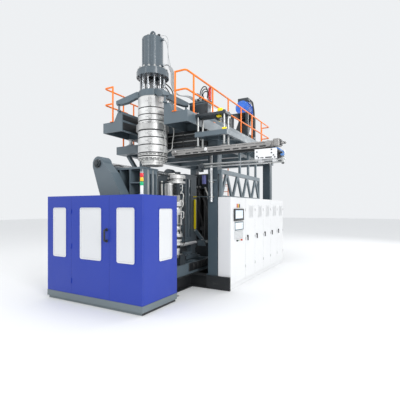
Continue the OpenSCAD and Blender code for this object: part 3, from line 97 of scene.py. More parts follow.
# Floor frame
# Hot rolled beams welded into one frame and painted black; the paint is dull, with dust on top
# of the flanges and bare spots along the edges.
def enamel(name, colour, rough=0.42, wear=0.25, dirt=0.25, grain=26.0, metal=0.0, edge=0.004, coat=0.0):
    """Machine enamel: slight colour drift, fine orange peel, worn edges and dust in patches."""
    mat = bpy.data.materials.new(name)
    mat.use_nodes = True
    tree = mat.node_tree
    shader = tree.nodes["Principled BSDF"]
    where = tree.nodes.new("ShaderNodeTexCoord")
    drift = tree.nodes.new("ShaderNodeTexNoise")
    drift.inputs["Scale"].default_value = 1.3
    drift.inputs["Detail"].default_value = 5
    tree.links.new(where.outputs["Object"], drift.inputs["Vector"])
    tint = tree.nodes.new("ShaderNodeValToRGB")
    tint.color_ramp.elements[0].position = 0.3
    tint.color_ramp.elements[1].position = 0.72
    tint.color_ramp.elements[0].color = (*[c * (1 - 0.22 * dirt) for c in colour], 1)
    tint.color_ramp.elements[1].color = (*[min(1, c * (1 + 0.14 * dirt) + 0.004) for c in colour], 1)
    tree.links.new(drift.outputs["Fac"], tint.inputs["Fac"])
    blotch = tree.nodes.new("ShaderNodeTexNoise")
    blotch.inputs["Scale"].default_value = 5.5
    blotch.inputs["Detail"].default_value = 8
    blotch.inputs["Roughness"].default_value = 0.65
    tree.links.new(where.outputs["Object"], blotch.inputs["Vector"])
    soil = tree.nodes.new("ShaderNodeMapRange")
    soil.inputs["From Min"].default_value = 0.56
    soil.inputs["From Max"].default_value = 0.82
    soil.inputs["To Max"].default_value = dirt
    tree.links.new(blotch.outputs["Fac"], soil.inputs["Value"])
    soiled = tree.nodes.new("ShaderNodeMix")
    soiled.data_type = "RGBA"
    soiled.inputs["B"].default_value = (0.19, 0.185, 0.17, 1)
    tree.links.new(soil.outputs["Result"], soiled.inputs["Factor"])
    tree.links.new(tint.outputs["Color"], soiled.inputs["A"])
    round_edge = tree.nodes.new("ShaderNodeBevel")
    round_edge.samples = 4
    round_edge.inputs["Radius"].default_value = edge
    flat = tree.nodes.new("ShaderNodeNewGeometry")
    turn = tree.nodes.new("ShaderNodeVectorMath")
    turn.operation = "DOT_PRODUCT"
    tree.links.new(round_edge.outputs["Normal"], turn.inputs[0])
    tree.links.new(flat.outputs["Normal"], turn.inputs[1])
    chip = tree.nodes.new("ShaderNodeMapRange")
    chip.inputs["From Min"].default_value = 0.995
    chip.inputs["From Max"].default_value = 0.93
    chip.inputs["To Max"].default_value = wear
    tree.links.new(turn.outputs["Value"], chip.inputs["Value"])
    worn = tree.nodes.new("ShaderNodeMix")
    worn.data_type = "RGBA"
    worn.inputs["B"].default_value = (*[min(1, c * 0.5 + 0.34) for c in colour], 1)
    tree.links.new(chip.outputs["Result"], worn.inputs["Factor"])
    tree.links.new(soiled.outputs["Result"], worn.inputs["A"])
    tree.links.new(worn.outputs["Result"], shader.inputs["Base Color"])
    gloss = tree.nodes.new("ShaderNodeMapRange")
    gloss.inputs["From Min"].default_value = 0.3
    gloss.inputs["From Max"].default_value = 0.7
    gloss.inputs["To Min"].default_value = max(0.05, rough - 0.07)
    gloss.inputs["To Max"].default_value = min(1, rough + 0.1)
    tree.links.new(blotch.outputs["Fac"], gloss.inputs["Value"])
    tree.links.new(gloss.outputs["Result"], shader.inputs["Roughness"])
    peel = tree.nodes.new("ShaderNodeTexNoise")
    peel.inputs["Scale"].default_value = grain * 8
    peel.inputs["Detail"].default_value = 2
    tree.links.new(where.outputs["Object"], peel.inputs["Vector"])
    bump = tree.nodes.new("ShaderNodeBump")
    bump.inputs["Strength"].default_value = 0.12
    bump.inputs["Distance"].default_value = 0.002
    tree.links.new(peel.outputs["Fac"], bump.inputs["Height"])
    tree.links.new(round_edge.outputs["Normal"], bump.inputs["Normal"])
    tree.links.new(bump.outputs["Normal"], shader.inputs["Normal"])
    shader.inputs["Metallic"].default_value = metal
    shader.inputs["Coat Weight"].default_value = coat
    return mat


def dress(material, *names):
    """Gives CAD nodes their finish."""
    for name in names:
        mesh = nodes[name].data
        mesh.materials.clear()
        mesh.materials.append(material)


black_paint = enamel("black_paint", (0.01, 0.012, 0.014), rough=0.5, dirt=0.3, wear=0.2)
dress(black_paint, "base_frame")

# Columns, ring and bed
# Box columns, beams and platens in the maker's blue grey enamel, in a few shades; the darker copies of
# the enamel are painted shade for the dark inside of the machine; the guard's skirt is the lightest.
grey_paint = enamel("grey_paint", (0.105, 0.14, 0.165), rough=0.36, dirt=0.2, wear=0.15)
dress(grey_paint, "clamp_bed", "ring_frame", "platform_frame", "walkway_right", "head_spider", "outer_platen")
column_paint = enamel("column_paint", (0.055, 0.082, 0.102), rough=0.4, dirt=0.2, wear=0.12)
dress(column_paint, "columns")
cylinder_paint = enamel("cylinder_paint", (0.08, 0.108, 0.13), rough=0.22, dirt=0.12, wear=0.15, coat=0.7)
dress(cylinder_paint, "head_cylinder")
# A darker copy of the blue grey: painted shade.
platen_paint_shaded = enamel("platen_paint_shaded", (0.075, 0.1, 0.12), rough=0.38, dirt=0.25, wear=0.15)
dress(platen_paint_shaded, "rear_platen", "clamp_cylinder")
dress(grey_paint, "front_platen")
# A near black copy of the blue grey: painted shade for the dark inside of the machine.
deep_grey_shaded = enamel("deep_grey_shaded", (0.028, 0.036, 0.043), rough=0.4, dirt=0.25, wear=0.12)
dress(deep_grey_shaded, "gearbox", "belt_guard", "hydraulic_unit", "blow_base", "jaw_front", "jaw_rear")
dress(grey_paint, "servo_manifold")
skirt_paint = enamel("skirt_paint", (0.15, 0.185, 0.2), rough=0.4, dirt=0.3, wear=0.15)
dress(skirt_paint, "guard_frame")
truss_paint = enamel("truss_paint", (0.14, 0.18, 0.205), rough=0.38, dirt=0.2, wear=0.15)
dress(truss_paint, "truss")


# Tie bars and rods
# Ground and chromed bars, bright, with faint turning marks.
def bright_steel(name, colour=(0.62, 0.63, 0.64), rough=0.22, turned=0.0, metal=1.0):
    """Bare steel with a fine drawn grain and uneven polish."""
    mat = bpy.data.materials.new(name)
    mat.use_nodes = True
    tree = mat.node_tree
    shader = tree.nodes["Principled BSDF"]
    where = tree.nodes.new("ShaderNodeTexCoord")
    stretch = tree.nodes.new("ShaderNodeMapping")
    stretch.inputs["Scale"].default_value = (3, 3, 90) if turned else (30, 30, 30)
    tree.links.new(where.outputs["Object"], stretch.inputs["Vector"])
    grain = tree.nodes.new("ShaderNodeTexNoise")
    grain.inputs["Scale"].default_value = 2.2
    grain.inputs["Detail"].default_value = 6
    tree.links.new(stretch.outputs["Vector"], grain.inputs["Vector"])
    smear = tree.nodes.new("ShaderNodeTexNoise")
    smear.inputs["Scale"].default_value = 2.6
    smear.inputs["Detail"].default_value = 4
    tree.links.new(where.outputs["Object"], smear.inputs["Vector"])
    tone = tree.nodes.new("ShaderNodeValToRGB")
    tone.color_ramp.elements[0].position = 0.32
    tone.color_ramp.elements[1].position = 0.7
    tone.color_ramp.elements[0].color = (*[c * 0.72 for c in colour], 1)
    tone.color_ramp.elements[1].color = (*colour, 1)
    tree.links.new(smear.outputs["Fac"], tone.inputs["Fac"])
    tree.links.new(tone.outputs["Color"], shader.inputs["Base Color"])
    gloss = tree.nodes.new("ShaderNodeMapRange")
    gloss.inputs["To Min"].default_value = max(0.04, rough - 0.09)
    gloss.inputs["To Max"].default_value = rough + 0.14
    tree.links.new(grain.outputs["Fac"], gloss.inputs["Value"])
    tree.links.new(gloss.outputs["Result"], shader.inputs["Roughness"])
    round_edge = tree.nodes.new("ShaderNodeBevel")
    round_edge.samples = 4
    round_edge.inputs["Radius"].default_value = 0.003
    bump = tree.nodes.new("ShaderNodeBump")
    bump.inputs["Strength"].default_value = 0.08
    bump.inputs["Distance"].default_value = 0.0004
    tree.links.new(grain.outputs["Fac"], bump.inputs["Height"])
    tree.links.new(round_edge.outputs["Normal"], bump.inputs["Normal"])
    tree.links.new(bump.outputs["Normal"], shader.inputs["Normal"])
    shader.inputs["Metallic"].default_value = metal
    return mat


chromed_bar = bright_steel("chromed_bar", (0.78, 0.79, 0.8), rough=0.24, metal=0.75)
dress(chromed_bar, "tie_bars", "clamp_rod", "die_core", "extruder_screw")
ram_steel = bright_steel("ram_steel", (0.2, 0.21, 0.22), rough=0.24, metal=0.9)
dress(ram_steel, "head_ram")
rod_steel = bright_steel("rod_steel", (0.42, 0.44, 0.46), rough=0.2, metal=0.9)
dress(rod_steel, "head_tie_rods")
head_steel = bright_steel("head_steel", (0.62, 0.62, 0.61), rough=0.36, turned=1, metal=0.6)
dress(head_steel, "head_barrel", "extruder_barrel")
pin_steel = bright_steel("pin_steel", (0.74, 0.735, 0.72), rough=0.34, turned=1, metal=0.55)
dress(pin_steel, "blow_pin_left", "blow_pin_right")
die_steel = bright_steel("die_steel", (0.9, 0.9, 0.88), rough=0.4, turned=1, metal=0.35)
dress(die_steel, "die_ring")
band_steel = bright_steel("band_steel", (0.86, 0.86, 0.85), rough=0.42, turned=1, metal=0.3)
dress(band_steel, "heater_bands", "hopper")
beam_alloy = bright_steel("beam_alloy", (0.4, 0.39, 0.38), rough=0.38, metal=0.7)
dress(beam_alloy, "robot_beam")

# Other paints
# Orange rails, blue guard and motor, white cabinets and take-out parts, red bottle.
rail_paint = enamel("rail_paint", (1.0, 0.22, 0.008), rough=0.3, dirt=0.08, wear=0.06)
dress(rail_paint, "railing_right", "railing_left")
guard_paint = enamel("guard_paint", (0.007, 0.035, 0.35), rough=0.36, dirt=0.03, wear=0.1)
dress(guard_paint, "guard_panels", "guard_door")
motor_paint = enamel("motor_paint", (0.03, 0.15, 0.62), rough=0.35, dirt=0.1, wear=0.08)
dress(motor_paint, "drive_motor")
cabinet_paint = enamel("cabinet_paint", (0.78, 0.785, 0.79), rough=0.34, dirt=0.03, wear=0.04)
dress(cabinet_paint, "cabinets", "door_1", "door_2", "door_3", "door_4", "door_5", "door_6",
      "take_out_carriage", "stack_light")
dress(deep_grey_shaded, "robot_hanger")
red_paint = enamel("red_paint", (0.55, 0.02, 0.012), rough=0.25, dirt=0.1)
dress(red_paint, "gas_bottle", "e_stop")
black_plastic = enamel("black_plastic", (0.02, 0.022, 0.025), rough=0.5, dirt=0.1, wear=0.1)
dress(black_plastic, "selector", "handle_2", "handle_3", "handle_4", "handle_5", "handle_6")

# Windows
# Milky white sheet, smooth and slightly glossy, let into the panels.
clear_sheet = bpy.data.materials.new("clear_sheet")
clear_sheet.use_nodes = True
sheet_tree = clear_sheet.node_tree
sheet_shader = sheet_tree.nodes["Principled BSDF"]
sheet_shader.inputs["Base Color"].default_value = (0.7, 0.71, 0.725, 1)
sheet_shader.inputs["Roughness"].default_value = 0.12
sheet_shader.inputs["Coat Weight"].default_value = 0.4
dress(clear_sheet, "guard_windows", "door_window")


# Anchors and levelling feet
# The floor beams stand on steel pads with a jacking screw and a locknut, and are held down by
# anchor bolts; all are galvanised.
def block(low, high, soft=0.004):
    """Plate or block between two corners, with eased edges."""
    bpy.ops.object.select_all(action="DESELECT")
    low, high = Vector(low), Vector(high)
    bpy.ops.mesh.primitive_cube_add(size=1, location=(low + high) / 2)
    bpy.context.object.scale = high - low
    bpy.ops.object.transform_apply(location=False, rotation=False, scale=True)
    bpy.ops.object.mode_set(mode="EDIT")
    bpy.ops.mesh.select_all(action="SELECT")
    bpy.ops.mesh.bevel(offset=min(soft, 0.3 * min(high - low)), segments=2, affect="EDGES")
    bpy.ops.object.mode_set(mode="OBJECT")
    return bpy.context.object


def rod(start, end, radius, sides=20, soft=0.002):
    """Round or hexagonal bar between two points, with eased rims."""
    bpy.ops.object.select_all(action="DESELECT")
    start, end = Vector(start), Vector(end)
    run = end - start
    bpy.ops.mesh.primitive_cylinder_add(vertices=sides, radius=radius, depth=run.length,
                                        location=(start + end) / 2,
                                        rotation=run.to_track_quat("Z", "Y").to_euler())
    bpy.ops.object.modifier_add(type="BEVEL")
    ease = bpy.context.object.modifiers[-1]
    ease.width = min(soft, 0.3 * run.length)
    ease.segments = 2
    ease.angle_limit = math.radians(40)
    bpy.ops.object.modifier_apply(modifier=ease.name)
    return bpy.context.object


def copies(model, places):
    """The model and its copies, each with its own mesh, moved by the given offsets."""
    bits = [model]
    for place in places[1:]:
        twin = model.copy()
        twin.data = model.data.copy()
        bpy.context.collection.objects.link(twin)
        twin.location = model.location + Vector(place) - Vector(places[0])
        bits.append(twin)
    return bits


def gather(name, bits, body, material):
    """Joins bits into one named piece with its origin at the machine's zero, and lets it ride."""
    bpy.ops.object.select_all(action="DESELECT")
    for bit in bits:
        if not bit.data.materials:
            bit.data.materials.append(material)
        bit.select_set(True)
    bpy.context.view_layer.objects.active = bits[0]
    if len(bits) > 1:
        bpy.ops.object.join()
    piece = bpy.context.object
    piece.name = name
    bpy.ops.object.transform_apply(location=True, rotation=True, scale=True)
    bpy.ops.object.shade_smooth_by_angle(angle=math.radians(35))
    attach(piece, body)
    return piece


zinc_steel = bright_steel("zinc_steel", (0.6, 0.61, 0.6), rough=0.36, metal=0.8)
feet = []
for x, y in ((-1.47, 0.42), (1.47, 0.42), (-1.47, 2.5), (-1.47, 4.62), (1.47, 2.5), (1.47, 4.62), (-0.94, -0.6),
             (0.94, -0.6)):
    out = 0.09 if x > 0 else -0.09
    feet.append(block((x + out - 0.07, y - 0.07, 0.0), (x + out + 0.07, y + 0.07, 0.016)))
    feet.append(rod((x + out, y, 0.015), (x + out, y, 0.13), 0.012, 12))
    feet.append(rod((x + out, y, 0.015), (x + out, y, 0.04), 0.024, 6))
gather("anchor_pads", feet, "machine", zinc_steel)

# Column foot bolts
# Each column foot and head plate has two socket screws a side, black oiled.
oiled_screw = bright_steel("oiled_screw", (0.1, 0.1, 0.11), rough=0.35)
screws = []
for x0, x1, y0, y1 in ((1.262, 1.53, 0.4, 0.64), (-1.53, -1.262, 1.36, 1.6), (1.262, 1.53, 4.31, 4.55),
                       (-1.53, -1.262, 4.31, 4.55)):
    inner = x0 + 0.014 if x0 > 0 else x1 - 0.014
    for y in (y0 + 0.06, y1 - 0.07):
        screws.append(rod((inner, y, 0.32), (inner, y, 0.345), 0.012, 12))
        screws.append(rod((inner, y, 3.245), (inner, y, 3.27), 0.012, 12))
gather("column_screws", screws, "machine", oiled_screw)


# Hoses
# Black rubber pressure hose with pressed zinc ends and swivel nuts, held at both ends.
def hose(points, radius=0.014, ends=True):
    """A smooth hose through the points, as mesh, with its end fittings."""
    line = bpy.data.curves.new("hose_line", "CURVE")
    line.dimensions = "3D"
    line.bevel_depth = radius
    line.bevel_resolution = 2
    line.resolution_u = 5
    line.use_fill_caps = True
    run = line.splines.new("BEZIER")
    run.bezier_points.add(len(points) - 1)
    for spot, point in zip(run.bezier_points, points):
        spot.co = point
        spot.handle_left_type = spot.handle_right_type = "AUTO"
    tube = bpy.data.objects.new("hose_run", line)
    bpy.context.collection.objects.link(tube)
    bpy.ops.object.select_all(action="DESELECT")
    tube.select_set(True)
    bpy.context.view_layer.objects.active = tube
    bpy.ops.object.convert(target="MESH")
    tube = bpy.context.object
    tube.data.materials.clear()
    tube.data.materials.append(hose_rubber)
    bits = [tube]
    if ends:
        for here, there in ((points[0], points[1]), (points[-1], points[-2])):
            way = (Vector(there) - Vector(here)).normalized()
            ferrule = rod(Vector(here) - way * 0.004, Vector(here) + way * 0.05, radius * 1.28, 14)
            nut = rod(Vector(here) - way * 0.008, Vector(here) + way * 0.018, radius * 1.75, 6)
            for bit in (ferrule, nut):
                bit.data.materials.append(zinc_steel)
            bits += [ferrule, nut]
    return bits


hose_rubber = enamel("hose_rubber", (0.014, 0.014, 0.015), rough=0.5, dirt=0.35, wear=0.1, edge=0.001)
clamp_axis_z = 1.83
oil_lines = []
for k in range(3):
    x = -0.12 + 0.08 * k
    oil_lines += hose([(x, -1.3, clamp_axis_z + 0.15), (x, -1.33 - 0.02 * k, 2.2), (x * 0.7 - 0.1, -1.25, 2.6),
                       (-0.2 - 0.03 * k, -1.1, 2.73), (-0.36 - 0.03 * k, -0.4, 2.76 + 0.02 * k),
                       (-0.46 - 0.03 * k, 0.3, 2.8 + 0.02 * k), (-0.48 - 0.03 * k, 0.62, 2.76),
                       (-0.48 - 0.03 * k, 0.68, 2.67)], 0.009)
gather("clamp_oil_lines", oil_lines, "clamp_yoke", hose_rubber)

# Guard door fittings
# A black rubber grip over the pull bar, three lift-off hinges on the left edge, a safety switch
# on the top rail, and a black rubber strip set back below the grey skirt.
grip_x, grip_y = 0.424, -1.971
grip = [rod((grip_x, grip_y, 1.238), (grip_x, grip_y, 1.456), 0.0175, 24, 0.006)]
for z in (1.246, 1.448):
    grip.append(rod((grip_x, grip_y, z), (grip_x, -1.912, z), 0.0185, 20, 0.004))
    grip.append(rod((grip_x, -1.918, z), (grip_x, -1.909, z), 0.03, 20, 0.003))
gather("door_grip", grip, "gate", black_plastic)
hinges = []
for z in (0.42, 1.1, 1.78):
    hinges.append(rod((-0.53, -1.915, z - 0.05), (-0.53, -1.915, z + 0.05), 0.009, 16))
gather("door_hinges", hinges, "machine", guard_paint)
skirt_rubber = [block((-1.229, -1.886, 0.001), (1.229, -1.882, 0.05), 0.001)]
for s in (-1, 1):
    skirt_rubber.append(block((s * 1.2305, -1.886, 0.001), (s * 1.227, -0.872, 0.05), 0.001))
gather("skirt_rubber", skirt_rubber, "machine", black_plastic)
latch_box = [block((0.43, -1.87, 2.0), (0.5, -1.82, 2.07), 0.004),
             block((-0.62, -1.85, 1.99), (-0.56, -1.83, 2.07), 0.003)]
gather("door_switch", latch_box, "machine", black_plastic)

# Window gaskets
# Blue rubber profile over the edge of each window, with rounded corners.
def gasket(place, wide, tall, turn, name, body, side=0.015, top=0.036, bottom=0.004):
    """Rounded frame in a plane; the cover is wider at the top than at the bottom."""
    bpy.ops.object.select_all(action="DESELECT")
    bpy.ops.mesh.primitive_plane_add(size=1)
    piece = bpy.context.object
    piece.scale = (wide, tall, 1)
    bpy.ops.object.transform_apply(location=False, rotation=False, scale=True)
    bpy.ops.object.mode_set(mode="EDIT")
    bpy.ops.mesh.select_all(action="SELECT")
    bpy.ops.mesh.bevel(offset=0.056, segments=7, affect="VERTICES")
    bpy.ops.mesh.select_all(action="SELECT")
    bpy.ops.mesh.inset(thickness=side, depth=0)
    work = bmesh.from_edit_mesh(piece.data)
    inner = [face for face in work.faces if face.select]
    for corner in {c for face in inner for c in face.verts}:
        corner.co.y += side - top if corner.co.y > 0 else bottom - side
    bmesh.ops.delete(work, geom=inner, context="FACES")
    bmesh.update_edit_mesh(piece.data)
    bpy.ops.mesh.select_all(action="SELECT")
    bpy.ops.mesh.extrude_region_move(TRANSFORM_OT_translate={"value": (0, 0, 0.0055)})
    bpy.ops.mesh.select_all(action="SELECT")
    bpy.ops.mesh.normals_make_consistent(inside=False)
    bpy.ops.object.mode_set(mode="OBJECT")
    piece.rotation_euler = (math.pi / 2, 0, turn)
    piece.location = place
    gather(name, [piece], body, guard_paint)


window_mid_z, gasket_tall = 1.366, 1.006
for name, body, low, high in (("gasket_front_left", "machine", -1.07, -0.682),
                              ("gasket_front_right", "machine", 0.666, 1.077),
                              ("gasket_door", "gate", -0.282, 0.283)):
    place = ((low + high) / 2, -1.9092, window_mid_z)
    gasket(place, high - low + 0.034, gasket_tall, 0, name, body, top=0.018)
gasket((1.2502, -1.228, window_mid_z), 0.45, gasket_tall, math.pi / 2, "gasket_side_right", "machine")
gasket((-1.2502, -1.228, window_mid_z), 0.45, gasket_tall, -math.pi / 2, "gasket_side_left", "machine")


# Signal tower
# Three stacked lenses, red above amber above green, on a white pole with black rings.
def painted(bit, material):
    """Gives a bit its own finish before it is joined to its piece."""
    bit.data.materials.append(material)
    return bit


lens_green = enamel("lens_green", (0.0, 0.42, 0.16), rough=0.12, dirt=0.0, wear=0.0, coat=0.5)
lens_amber = enamel("lens_amber", (0.95, 0.5, 0.01), rough=0.12, dirt=0.0, wear=0.0, coat=0.5)
lens_red = enamel("lens_red", (0.8, 0.02, 0.03), rough=0.12, dirt=0.0, wear=0.0, coat=0.5)
tower_x, tower_y = 1.175, -1.834
lens_foot, lens_pitch = 2.234, 0.074
tower_parts = [rod((tower_x, tower_y, 2.074), (tower_x, tower_y, 2.086), 0.04, 28),
               rod((tower_x, tower_y, 2.085), (tower_x, tower_y, 2.236), 0.028, 28),
               rod((tower_x, tower_y, 2.455), (tower_x, tower_y, 2.468), 0.03, 28, 0.004)]
for part in tower_parts:
    part.data.materials.append(cabinet_paint)
for k, lens in enumerate((lens_green, lens_amber, lens_red)):
    low = lens_foot + lens_pitch * k
    shade = rod((tower_x, tower_y, low), (tower_x, tower_y, low + 0.067), 0.031, 32, 0.004)
    tower_parts.append(painted(shade, lens))
    ring = rod((tower_x, tower_y, low + 0.067), (tower_x, tower_y, low + lens_pitch), 0.0315, 32, 0.001)
    tower_parts.append(painted(ring, black_plastic))
tower = gather("signal_tower", tower_parts, "machine", cabinet_paint)
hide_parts("stack_light")

# Cabinet doors
# Folded sheet doors with black rubber gap, outside hinges, and white louvred filter vents.
first_y, first_wide, door_wide = 0.392, 0.9, 0.682
second_y = first_y + first_wide
gap_seal = []
for k in range(1, 6):
    y = second_y + door_wide * (k - 1)
    gap_seal.append(block((1.835, y - 0.0028, 0.13), (1.8545, y + 0.0028, 2.084), 0.0008))
gather("door_gaps", gap_seal, "machine", black_plastic)
vent_grey = enamel("vent_grey", (0.76, 0.77, 0.775), rough=0.5, dirt=0.12, wear=0.0)
door_x, vent_x, vent_low, vent_high = 1.856, 1.866, 1.595, 1.915
for k in range(5):
    mid = second_y + door_wide * k + 0.381
    left, right = mid - 0.15, mid + 0.15
    frame_bits = [block((door_x, left, vent_low), (vent_x, mid - 0.135, vent_high), 0.003),
                  block((door_x, mid + 0.135, vent_low), (vent_x, right, vent_high), 0.003),
                  block((door_x, left, vent_low), (vent_x, right, 1.61), 0.003),
                  block((door_x, left, 1.9), (vent_x, right, vent_high), 0.003)]
    slat = block((1.8565, mid - 0.136, 1.616), (1.863, mid + 0.136, 1.628), 0.002)
    frame_bits += copies(slat, [(0, 0, 0.0195 * n) for n in range(15)])
    gather("filter_vent_%d" % (k + 2), frame_bits, "door%d" % (k + 2), vent_grey)
for k in range(6):
    wide = first_wide if k == 0 else door_wide
    y = (first_y if k == 0 else second_y + door_wide * (k - 1)) + wide - 0.003
    pins = []
    for z in (0.42, 1.1, 1.8):
        pins.append(rod((1.862, y, z - 0.035), (1.862, y, z + 0.035), 0.006, 12))
    gather("cabinet_hinges_%d" % (k + 1), pins, "machine", zinc_steel)

# Operating panel
# A black framed screen over a grey framed one, a membrane key field, and a row of push
# buttons; the small label plate above has plain coloured fields.
screen_glass = bpy.data.materials.new("screen_glass")
screen_glass.use_nodes = True
glass_tree = screen_glass.node_tree
glass_shader = glass_tree.nodes["Principled BSDF"]
glass_where = glass_tree.nodes.new("ShaderNodeTexCoord")
glass_tiles = glass_tree.nodes.new("ShaderNodeTexBrick")
glass_map = glass_tree.nodes.new("ShaderNodeMapping")
glass_map.inputs["Rotation"].default_value = (math.radians(90), 0, math.radians(90))
glass_tiles.inputs["Scale"].default_value = 9
glass_tiles.inputs["Mortar Size"].default_value = 0.012
glass_tiles.inputs["Color1"].default_value = (0.62, 0.74, 0.84, 1)
glass_tiles.inputs["Color2"].default_value = (0.8, 0.85, 0.88, 1)
glass_tiles.inputs["Mortar"].default_value = (0.25, 0.33, 0.45, 1)
glass_tree.links.new(glass_where.outputs["Object"], glass_map.inputs["Vector"])
glass_tree.links.new(glass_map.outputs["Vector"], glass_tiles.inputs["Vector"])
glass_tree.links.new(glass_tiles.outputs["Color"], glass_shader.inputs["Base Color"])
glass_shader.inputs["Roughness"].default_value = 0.08
glass_shader.inputs["Emission Color"].default_value = (0.55, 0.66, 0.75, 1)
glass_shader.inputs["Emission Strength"].default_value = 0.25
frame_x = 1.8835
top_frame = [block((1.8815, 0.562, 1.552), (frame_x, 1.122, 1.6), 0.0006),
             block((1.8815, 0.562, 1.79), (frame_x, 1.122, 1.822), 0.0006),
             block((1.8815, 0.562, 1.6), (frame_x, 0.622, 1.79), 0.0006),
             block((1.8815, 1.062, 1.6), (frame_x, 1.122, 1.79), 0.0006)]
x, y0, y1, z0, z1, rim = 1.857, 0.558, 1.126, 1.548, 1.826, 0.006
top_frame += [block((x, y0, z0), (frame_x, y0 + rim, z1), 0.002),
              block((x, y1 - rim, z0), (frame_x, y1, z1), 0.002),
              block((x, y0, z0), (frame_x, y1, z0 + rim), 0.002),
              block((x, y0, z1 - rim), (frame_x, y1, z1), 0.002)]
for bit in top_frame:
    bit.data.materials.append(black_plastic)
low_frame = [block((1.8755, 0.582, 1.326), (1.8775, 1.116, 1.35), 0.0006),
             block((1.8755, 0.582, 1.5), (1.8775, 1.116, 1.524), 0.0006),
             block((1.8755, 0.582, 1.35), (1.8775, 0.622, 1.5), 0.0006),
             block((1.8755, 1.076, 1.35), (1.8775, 1.116, 1.5), 0.0006)]
for bit in low_frame:
    bit.data.materials.append(truss_paint)
glasses = [block((1.874, 0.62, 1.6), (1.8755, 1.064, 1.79), 0.0004),
           block((1.87, 0.62, 1.35), (1.8715, 1.078, 1.5), 0.0004)]
for bit in glasses:
    bit.data.materials.append(screen_glass)
key_grey = enamel("key_grey", (0.5, 0.52, 0.53), rough=0.45, dirt=0.1, wear=0.0)
field = block((1.8635, 0.59, 1.13), (1.8655, 1.108, 1.304), 0.0008)
field.data.materials.append(key_grey)
key = block((1.865, 0.606, 1.145), (1.8685, 0.634, 1.163), 0.001)
key.data.materials.append(vent_grey)
keys = copies(key, [(0, 0.036 * i, 0.03 * j) for j in range(5) for i in range(14)])
stripe_bits = []
for k, colour in enumerate(((0.55, 0.05, 0.04), (0.75, 0.45, 0.03), (0.06, 0.07, 0.08))):
    strip = block((1.856, 0.735 + 0.068 * k, 1.85), (1.8585, 0.8 + 0.068 * k, 1.94), 0.0006)
    strip.data.materials.append(enamel("field_%d" % (k + 1), colour, rough=0.4, dirt=0.05, wear=0.0))
    stripe_bits.append(strip)
button_bits = []
for k in range(4):
    y = 0.8 + 0.05 * k
    collar = rod((1.856, y, 1.088), (1.862, y, 1.088), 0.014, 18)
    collar.data.materials.append(zinc_steel)
    cap = rod((1.862, y, 1.088), (1.87, y, 1.088), 0.0105, 18, 0.002)
    cap.data.materials.append((lens_green, black_plastic, cabinet_paint, lens_amber)[k])
    button_bits += [collar, cap]
panel_bits = top_frame + low_frame + glasses + [field] + keys + stripe_bits + button_bits
gather("operating_panel", panel_bits, "door1", black_plastic)

# Railings
# Orange steel tube with rounded corners, posts on foot plates, and a rear ladder with its cage.
def bent(points, radius, bend=0.07, sides=2):
    """Steel tube through the points, with round bends at the corners, as mesh."""
    line = bpy.data.curves.new("bent_line", "CURVE")
    line.dimensions = "3D"
    line.bevel_depth = radius
    line.bevel_resolution = sides
    line.use_fill_caps = True
    way = [Vector(points[0])]
    for before, corner, after in zip(points, points[1:], points[2:]):
        before, corner, after = Vector(before), Vector(corner), Vector(after)
        a, b = (before - corner).normalized(), (after - corner).normalized()
        for k in range(6):
            t = k / 5
            way.append(corner + a * bend * (1 - t) ** 2 + b * bend * t ** 2)
    way.append(Vector(points[-1]))
    run = line.splines.new("POLY")
    run.points.add(len(way) - 1)
    for spot, point in zip(run.points, way):
        spot.co = (*point, 1)
    tube = bpy.data.objects.new("bent_run", line)
    bpy.context.collection.objects.link(tube)
    bpy.ops.object.select_all(action="DESELECT")
    tube.select_set(True)
    bpy.context.view_layer.objects.active = tube
    bpy.ops.object.convert(target="MESH")
    bpy.context.object.data.materials.clear()
    return bpy.context.object


def post(x, y, foot, top, radius=0.021):
    """Railing post with a welded foot plate and two screws."""
    bits = [rod((x, y, foot + 0.01), (x, y, top), radius, 20),
            block((x - 0.055, y - 0.055, foot), (x + 0.055, y + 0.055, foot + 0.012))]
    for sx, sy in ((x - 0.036, y - 0.036), (x + 0.036, y + 0.036)):
        bits.append(rod((sx, sy, foot + 0.011), (sx, sy, foot + 0.024), 0.01, 6))
    return bits


deck_z, rail_top, rail_middle = 3.925, 4.79, 4.385
right_rail = []
for z in (rail_top, rail_middle):
    right_rail.append(bent([(0.876, -0.37, z), (1.165, -0.37, z), (1.165, 5.39, z), (0.876, 5.39, z)], 0.021))
for y in (-0.046, 0.872, 1.79, 2.7, 3.61, 4.52):
    right_rail += post(1.165, y, deck_z, rail_top)
right_rail += post(0.89, -0.37, deck_z, rail_top) + post(0.89, 5.39, deck_z, rail_top)
rail = gather("rail_right", right_rail, "machine", rail_paint)
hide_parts("railing_right")
left_rail = []
for z in (rail_top, rail_middle):
    left_rail.append(bent([(-0.919, -0.37, z), (-1.195, -0.37, z), (-1.195, 0.48, z), (-1.415, 0.48, z),
                           (-1.415, 4.64, z), (-0.995, 4.64, z)], 0.021))
left_rail += post(-0.93, -0.37, deck_z, rail_top)
for y in (0.53, 0.95, 1.9, 2.8, 3.7):
    left_rail += post(-1.415, y, 3.5, rail_top)
left_rail += post(-1.015, 4.64, deck_z, rail_top)
for s in (-1, 1):
    x = -0.76 + 0.23 * s
    left_rail.append(bent([(x, 5.51, 0.0), (x, 5.51, 4.75), (x, 5.15, 4.75), (x, 5.15, 3.926)], 0.021, 0.1))
    left_rail.append(rod((x, 5.449, 3.825), (x, 5.51, 3.825), 0.017))
for k in range(1, 15):
    z = k * 3.865 / 14
    left_rail.append(rod((-0.99, 5.51, z), (-0.53, 5.51, z), 0.014, 14))
for k in range(5):
    z = 2.3 + 0.42 * k
    left_rail.append(bent([(-0.99, 5.53, z), (-1.06, 5.68, z), (-0.76, 5.79, z), (-0.46, 5.68, z),
                           (-0.53, 5.53, z)], 0.009, 0.08, 1))
rail = gather("rail_left", left_rail, "machine", rail_paint)
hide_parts("railing_left")


